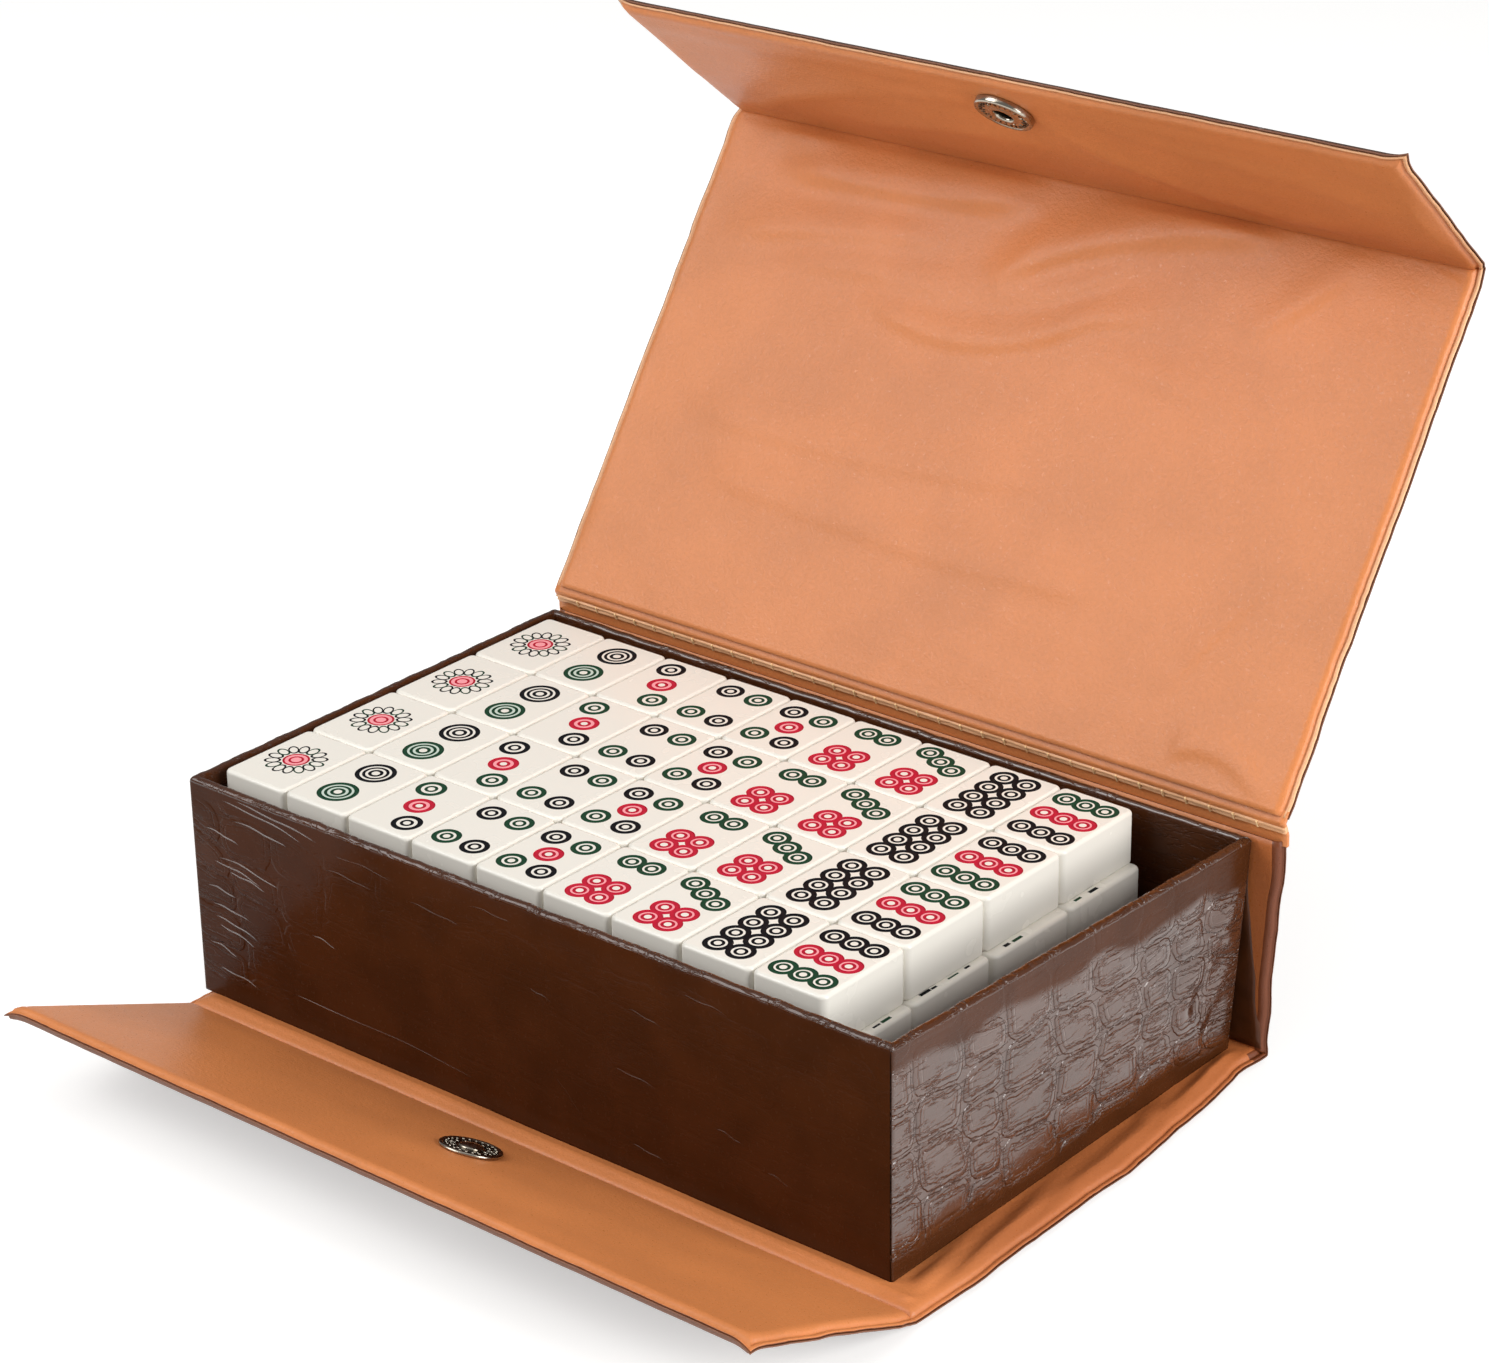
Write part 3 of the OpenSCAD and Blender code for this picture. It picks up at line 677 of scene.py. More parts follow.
def sheet(name, up, relief, steps, materials, start, legs, folds, ends, reach, shape, worn):
    """One cover sheet along a folded path, the lining if up or else the skin: a padded, hemmed grid and its
    back, joined to a closed shell. relief(X, S) is added to its height and shape(X, S) to its X, and
    the last function of (X, S) deepens its tone as painted shade."""
    c = settings("cover")
    low, far = ends[0], 50.0                               # far is past what any edge or fold changes
    corner_s = mm(c.lower_flap_depth) + mm(c.base_depth)   # where the base turns up into the spine
    lip = 0.0 if up else 0.35 if low else 0.55             # width of skin that shows past the lining
    first, last = reach[0] - lip * ends[0], reach[1] + lip * ends[1]
    s = spaced(last - first, steps[1], ends, [f - first for f in folds]) + first
    half = mm(c.width) / 2 + lip
    X, S = np.meshgrid(spaced(2 * half, steps[0]) - half, s)
    side, near = half - np.abs(X), np.full(X.shape, far)
    if ends[0]:
        near = np.minimum(near, S - first)
    if ends[1]:
        near = np.minimum(near, last - S)
    free = np.minimum(side, near)
    hem = np.where(near < side, mm(c.hem) * LINING_HEM[low], mm(c.hem))
    if low:
        hem = np.where(S > corner_s, 0.4, hem)
    fold = np.full(S.shape, far)
    for f in folds:
        fold = np.minimum(fold, np.abs(S - f))
    quiet = smooth((free - 2.4) / 5) * smooth((fold - 1.0) / 5)
    h = pad(free, fold, mm(c.thick) / 2, hem) + quiet * relief(X, S)
    ripple = smooth(1 - side / 5) * np.sign(X)             # the free edges waver
    wave = 0.3 * value_noise(S / 8, np.sign(X) * 5, 3) + 0.14 * value_noise(S / 2.4, np.sign(X) * 5, 4)
    lap = 0.28 * value_noise(X / 9, S * 0, 13) + 0.16 * value_noise(X / 2.2, S * 0, 14)
    lap = smooth(1 - near / 4) * lap * (1 if ends[1] else -1)
    back = np.maximum(h - SHEET, 0.03)
    corner = np.hypot(np.maximum(side, 0), np.maximum(near, 0))
    curl = -1.7 * np.clip(1 - corner / 7, 0, 1) ** 2       # the corners bend a little to the skin's side
    sign = 1 if up else -1
    Xw, Sw = X + ripple * wave + shape(X, S), S + lap
    outer, inner = (on_path(start, legs, Sw, Xw, sign * level + curl) for level in (h, back))
    pressed_and_shaded = free < (0.75 * hem if up else 1.1)
    if up and low:                                         # on the base only the spine's ends take the darkened tan of painted shade
        pressed_and_shaded = (side < 2.9) & (S > corner_s - 6)
    made = shell(name, outer, inner, materials, pressed_and_shaded[:-1, :-1].astype(int))
    attribute(made, "worn", np.tile(worn(X, S).reshape(-1), 2))
    return made


def lid_folds(X, S):
    """The folds read off the lid and its flap, with a slack roll along the flap's edge, flat at the snap."""
    lid = mm(settings("cover").lid_depth)
    snap, roll, slack_end = 53.4, 61, 66                   # distances from the crease
    soft = 0.2 * value_noise(X / 34, S / 22, 5) + 0.09 * value_noise(X / 13, S / 8, 6)
    on_flap = smooth((S - lid - 6) / 6) * (1 - bell(np.hypot(X, S - lid - snap), 0, 12))
    bulge = 1.5 * np.sin(math.pi * np.clip((S - lid) / slack_end, 0, 1)) ** 2
    slack = on_flap * (0.45 * bell(S, lid + roll, 4.5) + bulge + ridges(X, S - lid, FLAP_WRINKLES, 16)
                       + 0.25 * value_noise(X / 30, S / 9, 8))
    nip = smooth((np.abs(X) - 112) / 22) * bell(S, lid, 9) * value_noise(S / 1.8 + X / 7, 0 * X, 19) * 0.5
    folds = 1.3 * ridges(X, S, LID_WRINKLES, 12, 2.6) * (S < lid) + soft + slack + nip
    beside_tiles = smooth((X - 94) / 4)
    room = 0.0175 * S - 0.15 + 0.7 * beside_tiles          # what the closed lid leaves above the tiles
    return np.where(S < lid, np.minimum(folds, room), folds) + 0.03 * value_noise(X / 5, S / 4, 7)


def lid_shape(X, S):
    """The flap's sheet flares towards its free edge, and the crease is nipped in at both ends."""
    c = settings("cover")
    past = (S - mm(c.lid_depth)) / mm(c.lid_flap_depth)
    flare = 3.2 * np.clip(past, 0, 1) * smooth((np.abs(X) - 60) / 76)
    return np.sign(X) * (flare - 1.2 * bell(S, mm(c.lid_depth), 3.0) * smooth((np.abs(X) - 110) / 27))


def wall_and_folds():
    """X of the tray's right wall, and where the lower flap's and the spine's folds are along the sheet."""
    c, t = settings("cover"), settings("tray")
    return mm(t.at_x) + mm(t.width) / 2, mm(c.lower_flap_depth), mm(c.lower_flap_depth) + mm(c.base_depth)


# Faint ridges and hollows of the lower flap, in the same form as the lid's, before the factor 0.25
LOW_FLAP_WRINKLES = [(-110, 50, -20, 46, 90, 52, 7, -1), (-60, 24, 20, 20, 110, 26, 8, -1),
                     (-120, 62, 0, 64, 120, 62, 4, 0.8)]


def base_folds(X, S):
    """Gentle swell; slanting pulled folds right of the tray; a full roll in front of it; a pinched corner."""
    wall, flap, spine = wall_and_folds()
    right = smooth((X - wall + 3) / 5) * smooth((S - flap - 6) / 12) * smooth((spine - 4 - S) / 10)
    along_edge = 2 * math.pi * ((X - wall) / 8.5 + (S - flap) / 46)
    slant = np.sin(along_edge + 1.6 * value_noise(S / 30, 0 * X, 9))
    soft = 0.14 * value_noise(X / 36, S / 20, 11) + 0.05 * value_noise(X / 12, S / 8, 12)
    soft = soft + 0.25 * ridges(X, S, LOW_FLAP_WRINKLES)
    roll = 1.0 * bell(S, flap + 4.4, 2.6)
    px, ps = X - 130, S - flap - 4                         # from the pinch at the tray's front right corner
    crossed = 0.7 * bell(px - ps, 0, 1.1) + 0.7 * bell(px + ps, 0, 1.1)
    pinch = np.exp(-np.hypot(px, ps) / 5) * (crossed - 0.5 + 0.3 * value_noise(X, S, 17))
    puckers = 0.35 * value_noise(S / 3.2, X / 9, 24) * smooth((S - flap - 95) / 30)
    calm = 1.05 - 0.55 * smooth((S - flap - 45) / 30)
    swell = 1.1 * bell(X, wall + 9, 4) + calm * slant * (0.65 + 0.35 * value_noise(S / 15, 0 * X, 10))
    return soft + roll + pinch + right * (puckers + swell)


def base_shape(X, S):
    """The cover's right side draws in towards the spine and wavers."""
    spine = wall_and_folds()[2]
    draw_in = 6.2 * bell(S, spine, 50)
    waver = 0.9 * value_noise(S / 15, 0 * X, 18) * smooth((S - 110) / 40) * smooth((spine + 6 - S) / 20)
    return smooth((X - 112) / 25) * (waver + 0.5 * value_noise(S / 9, 0 * X, 28) - draw_in)


def base_painted_shade(X, S):
    """Painted shade: deeper tan on the strip right of the tray, where the tray shades it."""
    wall, flap, _ = wall_and_folds()
    return (0.15 + 0.4 * smooth((S - flap) / 60)) * smooth((X - wall + 4) / 6) * smooth((S - flap + 12) / 14)


def lid_painted_shade(X, S):
    """Painted shade: deeper tan on the flap, most of all near its crease and at its right end."""
    past = S - mm(settings("cover").lid_depth)
    return smooth((past + 1) / 2) * (0.32 * smooth((46 - past) / 40) + 0.2 * smooth((X - 20) / 80))


def flat_swell(X, S):
    """The skin lies flat on its boards."""
    return 0.1 * value_noise(X / 30, S / 30, 21) + 0.03 * value_noise(X / 6, S / 6, 22)


class MAHJONG_OT_cover(bpy.types.Operator):
    """Makes the tan lining and the crocodile skin of all five panels"""
    bl_idname = "mahjong.cover"
    bl_label = "Cover"

    def execute(self, context):
        c, lines = settings("cover"), fold_lines()
        flap, base, spine = mm(c.lower_flap_depth), mm(c.base_depth), mm(c.spine_height)
        lid, lid_flap = mm(c.lid_depth), mm(c.lid_flap_depth)
        low_turn, flap_turn = -c.lower_flap_rise, c.lid_angle + c.flap_turn
        tan, pale = satin_pvc("satin_pvc_leather_tan", c.tan), satin_pvc("welded_pvc_pale_tan", c.pale, 0.6)
        skin = crocodile_pvc("crocodile_pvc_leather_cover", c.brown)
        welded = satin_pvc("welded_pvc_edge_brown", c.edge, 0.6)
        # painted shade: the spine's ends are tan darkened to stand for the shade on its turned-away roll
        painted_shade_tan = satin_pvc("satin_pvc_leather_rubbed_edge", shade(c.tan, 0.33, 0.8), 0.8)
        base_strip = dict(start=lines["low"] - along(low_turn) * flap, folds=[flap, flap + base],
                          legs=[(low_turn, flap), (0.0, base), (c.spine_angle, spine)],
                          ends=(True, False), reach=(0, flap + base + spine - 2.0), shape=base_shape,
                          worn=base_painted_shade)
        lid_strip = dict(start=lines["lid"], legs=[(c.lid_angle, lid), (flap_turn, lid_flap)], folds=[lid],
                         ends=(False, True), reach=(1.6, lid + lid_flap), shape=lid_shape, worn=lid_painted_shade)
        base_bend = (lines["low"], low_turn, 0.0)
        lid_bend = (lines["crease"], c.lid_angle, flap_turn)
        for name, strip, relief, steps, edge, bodies, (at, before, after), panels, folds in (
                ("base_and_lower_flap", base_strip, base_folds, (2.0, 1.8), painted_shade_tan, ("lower_flap", "root"),
                 base_bend, ["base", "lower_flap", "spine"], ["base_spine_fold", "lower_flap_fold"]),
                ("lid_and_flap", lid_strip, lid_folds, (1.7, 1.5), pale, ("lid", "lid_flap"),
                 lid_bend, ["lid", "lid_flap"], ["lid_flap_fold"])):
            made = sheet(f"{name}_lining", True, relief, steps, [tan, edge], **strip)
            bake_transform(made)
            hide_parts(*[f"{n}_lining" for n in panels], *[f"{n}_board" for n in panels], *folds)
            made = sheet(f"{name}_skin", False, flat_swell, (4.0, 4.0), [skin, welded], **strip)
            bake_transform(made)
            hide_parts(*[f"{n}_skin" for n in panels])

        # Narrow folds and the strip between the two weld lines of the lid's hinge
        long, short = 3.6, 1.1                             # a band's reach on a panel, and on the strip
        self.fold("spine_top_band", lines["strip"], (c.spine_angle, long), (c.strip_angle, short),
                  [tan, skin], ("root", "hinge_strip"), "spine_top_fold")
        self.fold("lid_hinge_band", lines["lid"], (c.strip_angle, short), (c.lid_angle, long),
                  [tan, skin], ("hinge_strip", "lid"), "lid_fold")
        self.strip(lines["strip"], c.strip_angle, mm(c.strip_width), pale, skin)
        return {"FINISHED"}

    def fold(self, name, at, first, second, finishes, bodies, node_name):
        """Thin welded band round one fold line, tan inside and brown outside, on its first and second leg"""
        half = mm(settings("cover").width) / 2 + 0.2
        X, S = np.meshgrid(np.linspace(-half, half, 138), np.linspace(0, first[1] + second[1], 15))
        start = at - along(first[0]) * first[1]
        thick = 0.58 + 0.05 * value_noise(X / 6, S / 2, 31)
        made = shell(name, *(on_path(start, [first, second], S, X, h) for h in (thick, -thick)), finishes)
        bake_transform(made)
        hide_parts(node_name)

    def strip(self, at, turn, width, pale, skin):
        """Pale strip with a ridge along each weld line and small ticks across it"""
        half = mm(settings("cover").width) / 2 + 0.1
        lines, ridge = (1.6, 3.05), 0.62                   # places of the weld lines, and their height
        s = np.array([1.0, 1.15, 1.4, 1.65, 1.9, 2.2, 2.5, 2.8, 3.05, 3.3, 3.5, 3.6])
        X, S = np.meshgrid(np.linspace(-half, half, 200), s)
        drift = 0.12 * value_noise(X / 20, 0 * X, 41)
        h = 0.62 + ridge * bell(S, lines[0] + drift, 0.2) + ridge * bell(S, lines[1] + drift, 0.2)
        h = h + 0.14 * value_noise(X / 3.2, S / 1.5, 42)
        edge = 0.5 + 0.5 * shoulder(np.minimum(S - 0.95, 3.65 - S) / 0.4)
        top, under = (on_path(at, [(turn, width)], S, X, level * edge) for level in (h, -0.8))
        band = shell("hinge_strip_band", top, under, [pale, skin])
        # painted highlight: the ticks are real marks, coloured paler than the weld to stand for the light they
        # catch
        bright = satin_pvc("welded_pvc_tick", shade(settings("cover").pale, 1.5), 0.3)
        tick = rounded_bar("hinge_strip_ticks", 0.55, 2.4, 0.7, bright)
        pitch, count = 8.0, 33
        ticks = repeated(tick, Count=count, Step=(pitch / 1000, 0, 0), Material=bright)
        out, up = along(turn), along(turn + math.pi / 2)
        centre = at + out * (width / 2) + up * 1.0
        put(ticks, (-(count - 1) / 2 * pitch, *centre), (1, 0, 0), (0, *out), (0, *up))
        carry(band, "hinge_strip", "cover_lining", "hinge_strip")
        carry(ticks, "hinge_strip", "cover_lining")


# ---------- tray ----------

# Short sharp creases of the tray's front: from (along, up) to (along, up), bow and height, in millimetres
FRONT_CREASES = [
    (14, 66.5, 46, 63, 0.8, 0.5), (18, 61.5, 40, 59.5, 0.5, 0.3), (20, 68, 52, 65, 0.4, 0.25),
    (11, 48, 36, 44.5, 0.9, 0.55), (15, 44, 30, 42, 0.4, 0.35), (9, 46, 28, 43.4, 0.5, 0.3),
    (7, 27, 26, 23.5, 0.9, 0.5), (6, 31, 22, 29.5, 0.5, 0.4), (9, 24.5, 24, 21.5, 0.4, 0.3),
    (4, 18, 16, 15.5, 0.5, 0.4), (6, 56, 20, 54, 0.5, 0.35), (5, 37, 17, 35.5, 0.5, 0.3),
    (8, 10, 24, 8, 0.4, 0.3), (56, 57.5, 74, 56, 0.4, 0.4), (88, 57.5, 108, 56, 0.4, 0.4),
    (134, 45, 142, 43.5, 0.2, 0.4), (170, 51, 182, 49, 0.4, 0.4), (48, 34, 58, 32, 0.3, 0.4),
    (165, 31, 180, 29.5, 0.4, 0.4), (200, 25, 210, 23, 0.3, 0.4), (40, 11, 110, 9, 0.6, 0.2),
    (143, 20, 152, 11, 0.3, 0.3), (170, 9, 182, 7.5, 0.3, 0.4), (218, 18, 226, 16, 0.2, 0.35),
    (60, 63, 82, 62, 0.3, 0.25), (112, 64, 128, 63.5, 0.3, 0.25), (190, 62, 205, 61, 0.3, 0.25)]


FRONT, RIGHT, BACK = 0, 1, 2                               # the walls' numbers; the left one is 3
WALL_STEPS = (1.5, 0.5, 3.0, 1.6)                          # the grid's step along each wall, in millimetres
CORNER_STEPS = np.array([0, 0.25, 0.5, 0.8, 1.2, 1.7, 2.4, 3.2, 4.2, 5.4])     # its lines beside a corner


class MAHJONG_OT_tray(bpy.types.Operator):
    """Makes the crocodile-grain wrap of the tray and finishes its floor"""
    bl_idname = "mahjong.tray"
    bl_label = "Tray"

    def execute(self, context):
        wrap = crocodile_pvc("crocodile_pvc_leather_tray", settings("tray").brown, relief=True)
        plain = plain_pvc()
        front = self.wrap(wrap, plain)
        self.turned_strip(plain)
        self.creases(front, wrap)
        repaint("tray_floor_lining", plain)
        board = greyboard()
        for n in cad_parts:
            if n.endswith("_board"):
                repaint(n, board)
        return {"FINISHED"}

    def section(self, tall, wall):
        """Points (depth, height) up the wall's outside, over its rim, down its inside and back within the
        sheet; how many of them are outside, and how many show"""
        r, within = wall / 2, 1.15                         # radii of the rim's two sides
        rise = np.linspace(0.2, tall - r, 98)
        points = [(0.0, z) for z in rise]
        for a in np.linspace(0, math.pi, 13)[1:-1]:
            points.append((r - r * math.cos(a), tall - r + r * math.sin(a)))
        points += [(wall, z) for z in np.linspace(tall - r, wall, 16)]
        shown = len(points)
        points += [(wall - SHEET, wall + 0.2), (wall - SHEET, tall - r)]
        for a in np.linspace(math.pi, 0, 7)[1:-1]:
            points.append((r - within * math.cos(a), tall - r + within * math.sin(a)))
        points += [(0.8, tall - r), (0.8, 0.4)]
        return np.array(points), len(rise), shown

    def wrap(self, finish, plain):
        """The walls' sheet with its grain, dents and slack rim; gives the points of the front's outside"""
        t, foot = settings("tray"), mm(settings("cover").thick)
        w, d, tall, wall = mm(t.width), mm(t.depth), mm(t.height), mm(t.wall)
        section, outer_rows, shown_rows = self.section(tall, wall)
        depth, z = section.T
        span = np.array([w, d, w, d])
        u, side = [], []                                   # share of the wall's length, and which wall
        for k, step in enumerate(WALL_STEPS):
            marks = [CORNER_STEPS, np.arange(6.2, span[k] - 6, step), span[k] - CORNER_STEPS]
            marks = np.unique(np.concatenate(marks))[:-1]
            u += list(marks / span[k])
            side += [k] * len(marks)
        D, U = np.meshgrid(depth, u, indexing="ij")
        K = np.broadcast_to(side, D.shape)
        Z = np.broadcast_to(z[:, None], D.shape)
        L = span[K]
        run = D + (L - 2 * D) * U
        level = np.arange(len(section))[:, None]
        outside, shown = level < outer_rows, level < shown_rows
        inside = shown & ~outside

        # The grain is pressed full on the right wall, fainter on the others, and hardly near rim and foot
        back = run / L
        press = np.where(K == FRONT, 0.12 + 0.5 * smooth((50 - run) / 50), np.where(K == RIGHT, 1.0, 0.7))
        from_foot = Z - 4.0 + 2 * value_noise(run / 12, K * 3.0, 55)
        from_rim = tall - 6.5 - 5 * back * (K == RIGHT) + 2.5 * value_noise(run / 15, K * 3.0, 56) - Z
        band = smooth(from_foot / 4) * smooth(from_rim / 4)
        press = press * (0.1 + 0.9 * band)
        grain, border = crocodile(run + 400 * K, Z, 61)
        soft = smooth(np.minimum(run, L - run) / 9) * smooth(Z / 5) * smooth((tall - Z) / 6)
        dent = 0.25 * value_noise(run / 40 + 7 * K, Z / 24, 51)
        dent = dent + 0.12 * value_noise(run / 14 + 7 * K, Z / 10, 52)
        deepest = np.where(K == RIGHT, -0.6, -0.3)
        relief = outside * soft * np.maximum(dent + press * (grain - 0.1), deepest)

        # The sheet is slack over the rim, and rounded and pushed in at the corners
        slack = 0.14 * value_noise(run / 6 + 9 * K, K * 2.0, 53)
        slack = slack + 0.13 * value_noise(run / 1.7 + 3 * K, K * 2.0, 54)
        top = Z + shown * smooth((Z - tall + 5) / 5) * slack
        corner_r = 1.1
        from_corner = np.maximum(corner_r - np.minimum(run - D, L - D - run), 0)
        push = corner_r - np.sqrt(np.maximum(corner_r ** 2 - from_corner ** 2, 0))
        D = D - relief + np.where(shown & (D < wall * 0.6), 0.6 * push, 0)

        # Each wall from its corner, and the lean that grows to the back right top
        corners = np.array([[0, 0], [w, 0], [w, d], [0, d]])
        way = np.array([[1, 0], [0, 1], [-1, 0], [0, -1]])
        inward = np.array([[0, 1], [-1, 0], [0, -1], [1, 0]])
        flat = corners[K] + way[K] * run[..., None] + inward[K] * D[..., None]
        share = flat[..., 0] / w * (flat[..., 1] / d) * (top / tall)
        x = flat[..., 0] + mm(t.lean) * share + mm(t.at_x) - w / 2
        points = np.stack([x, flat[..., 1] + mm(t.at_y) - d / 2, top - 0.8 * share + foot], -1)
        faces = grid_faces(len(section), len(u), close_rows=True, close_columns=True)
        ring = np.repeat(np.arange(len(section)), len(u))
        index = (ring > outer_rows + 15) & (ring < shown_rows)
        made = piece("tray_wrap_outside", points.reshape(-1, 3), faces, [finish, plain], index)

        over_rim = outer_rows + 9                          # the rows before this one are on the rim
        rim = np.where(level < over_rim, np.where(K == BACK, 1.0, 0.5), 0.15)
        gloss = np.where(inside, rim, np.where(K == RIGHT, 0.3 - 0.25 * back + 0.7 * band, 0.6))
        gloss = np.where((K == FRONT) & outside, 0.1 * smooth((30 - run) / 30), gloss)
        attribute(made, "scales", np.where(inside, 0.5, press))
        attribute(made, "border", np.broadcast_to(border, D.shape))
        attribute(made, "gloss", gloss)
        carry(made, "root", "tray_wrap", "tray_wrap", "tray_right_board")
        return points[:outer_rows, np.array(side) == FRONT]

    def creases(self, front, finish):
        """Short sharp ridges where the front's sheet has been creased"""
        t, foot = settings("tray"), mm(settings("cover").thick)
        left = mm(t.at_x) - mm(t.width) / 2
        points, faces = [], []
        for u0, v0, u1, v1, bow, tall in FRONT_CREASES:
            steps = max(6, int((u1 - u0) / 1.5))
            first = len(points)
            for q in np.arange(steps + 1) / steps:
                x = left + u0 + (u1 - u0) * q
                z = foot + v0 + (v1 - v0) * q + 4 * bow * q * (1 - q) + 0.25 * math.sin(9 * q + u0)
                near = np.argmin((front[..., 0] - x) ** 2 + (front[..., 2] - z) ** 2)
                y = front.reshape(-1, 3)[near, 1]
                swell = math.sin(math.pi * q) ** 0.5 + 0.02
                w, h = 0.28 * swell, 0.38 * tall * swell
                points += [(x, y + 0.3, z - w), (x, y - 0.02, z - w), (x, y - h, z + 0.3 * w)]
                points += [(x, y - 0.02, z + w), (x, y + 0.3, z + w)]
            faces += list(grid_faces(steps + 1, 5, first, close_columns=True))
            faces += [[first + k for k in range(5)][::-1], [len(points) - 5 + k for k in range(5)]]
        made = piece("tray_wrap_creases", points, faces, [finish])
        attribute(made, "gloss", 0.9 - 0.65 * smooth((np.array(points)[:, 0] - left - 40) / 30))
        weld(made)
        carry(made, "root", "tray_wrap")

    def turned_strip(self, finish):
        """Strip of the wrap glued to the spine, which shows as a dark gap beside the tray's back corner"""
        c, t = settings("cover"), settings("tray")
        wall, tall = mm(t.at_x) + mm(t.width) / 2, mm(c.spine_height)
        A, S = np.meshgrid(np.linspace(0, 1, 9), np.linspace(2.6, tall - 5, 24))
        X = wall - 6 + A * (13.4 - 4.2 * smooth(S / 70) + 0.5 * value_noise(S / 9, 0 * A, 71))
        edge = shoulder(np.minimum(A, 1 - A) / 0.12) * shoulder((S - 2.5) / 1.0)
        low = mm(c.thick) / 2 - 0.25 + 0 * S
        high = low + (0.6 + 0.2 * value_noise(A * 3, S / 6, 72)) * (0.1 + 0.9 * edge)
        start, legs = fold_lines()["spine"], [(c.spine_angle, tall)]
        sides = (on_path(start, legs, S, X, h) for h in (high, low - 0.1))
        made = shell("tray_wrap_turned_strip", *sides, [finish])
        carry(made, "root", "tray_wrap")


# ---------- tiles ----------

IVORY, BLACK, GREEN, RED, PINK, MIST = range(6)


def dot(x, y, r, paint):
    """Dot of a bold outer ring, a pale band and an inner ring, as bands of (outer, inner, paint, cut)."""
    pale = PINK if paint == RED else IVORY
    bold = min(1.6, r * 0.37)
    bands = [(r, r - bold, paint, True), (r - bold, 2.05, pale, False), (2.05, 1.1, paint, True)]
    return (x, y, r, r, 0.0, bands)


def wheel(y, paint):
    """Large dot of the two, with three rings."""
    pale = MIST if paint == GREEN else IVORY
    bands = [(6.2, 4.75, paint, True), (4.75, 4.05, pale, False), (4.05, 3.1, paint, True),
             (3.1, 2.3, pale, False), (2.3, 1.25, paint, True)]
    return (0, y, 6.2, 6.2, 0.0, bands)


def flower():
    """Fourteen petals outlined in green-black round a red and pink disc."""
    shapes = []
    for k in range(14):
        a = 2 * math.pi * (k + 0.5) / 14
        bands = [(2.6, 1.85, GREEN if k % 3 == 0 else BLACK, True), (1.85, 0.0, IVORY, False)]
        shapes.append((7.0 * math.cos(a), 7.0 * math.sin(a), 2.6, 1.66, a, bands))
    bands = [(4.1, 3.4, RED, True), (3.4, 2.35, PINK, False), (2.35, 1.6, RED, True), (1.6, 0.0, PINK, False),
             (0.6, 0.0, IVORY, False)]
    shapes.append((0, 0, 4.1, 4.1, 0.0, bands))
    return shapes


def block(x, y, pitch, r, paint):
    """Two by two dots."""
    return [dot(x + i * pitch / 2, y + j * pitch / 2, r, paint) for i in (-1, 1) for j in (-1, 1)]


def design(number, front_rows):
    """Shapes of one dots tile; front_rows is true on rows 1 and 3, where some colours change places."""
    a, b = (GREEN, BLACK) if front_rows else (BLACK, GREEN)
    if number == 1:
        return flower()
    if number == 2:
        return [wheel(-7.8, GREEN), wheel(7.8, BLACK)]
    if number == 3:
        return [dot(-4.95, 10.2, 4.65, a), dot(0, 0, 4.65, RED), dot(4.95, -10.2, 4.65, b)]
    if number in (4, 5):
        x = 5.4 if number == 4 else 5.6
        places = ((-1, -1), (1, -1), (-1, 1), (1, 1))
        four = [dot(i * x, j * 9.3, 4.4, GREEN if i == j else BLACK) for i, j in places]
        return four + ([dot(0, 0, 4.4, RED)] if number == 5 else [])
    if number == 6:
        return [dot(-3.6, 10.9, 4.2, GREEN), dot(3.6, 10.9, 4.2, GREEN)] + block(0, -7.5, 7.1, 4.2, RED)
    if number == 7:
        return [dot(6.1 * k, 8.6 - 3.0 * k, 4.2, GREEN) for k in (-1, 0, 1)] + block(0, -7.8, 7.1, 4.2, RED)
    if number == 8:
        return [dot(i * 4.0, (j - 1.5) * 7.45, 4.3, BLACK) for i in (-1, 1) for j in range(4)]
    lines = (GREEN, RED, BLACK) if front_rows else (BLACK, RED, GREEN)
    return [dot(i * 6.7, (j - 1) * 10.9, 4.15, lines[j]) for i in (-1, 0, 1) for j in range(3)]


def plan(inset, corner_steps=6):
    """Rounded outline of a tile seen from above, centred, counter-clockwise."""
    t = settings("tiles")
    w, d, r = mm(t.width) / 2 - inset, mm(t.length) / 2 - inset, mm(t.corner) - inset
    points = []
    for cx, cy, first in ((w - r, d - r, 0), (r - w, d - r, 90), (r - w, r - d, 180), (w - r, r - d, 270)):
        for k in range(corner_steps + 1):
            a = math.radians(first + 90 * k / corner_steps)
            points.append((cx + r * math.cos(a), cy + r * math.sin(a)))
    return points


WALL = 0.09                                               # width of a groove's sloping side


def engraved(p, shapes, depth):
    """(height, paint) of the tile's face at a point."""
    height, paint, cut_paint = 0.0, IVORY, None
    for x, y, a, b, turn, bands in shapes:
        dx, dy = p[0] - x, p[1] - y
        if turn == 0 and (abs(dx) > a + 0.1 or abs(dy) > a + 0.1):
            continue
        c, s = math.cos(turn), math.sin(turn)
        r = math.hypot(dx * c + dy * s, (dy * c - dx * s) * a / b)
        for outer, inner, tone, cut in bands:
            if inner - 1e-6 <= r <= outer + 1e-6:
                if cut:
                    deep = min(1.0, (outer - r) / WALL, (r - inner) / WALL if inner else 1.0)
                    if -deep * depth < height:
                        height = -deep * depth
                    cut_paint = tone
                elif paint == IVORY:
                    paint = tone
    return height, paint if cut_paint is None else cut_paint


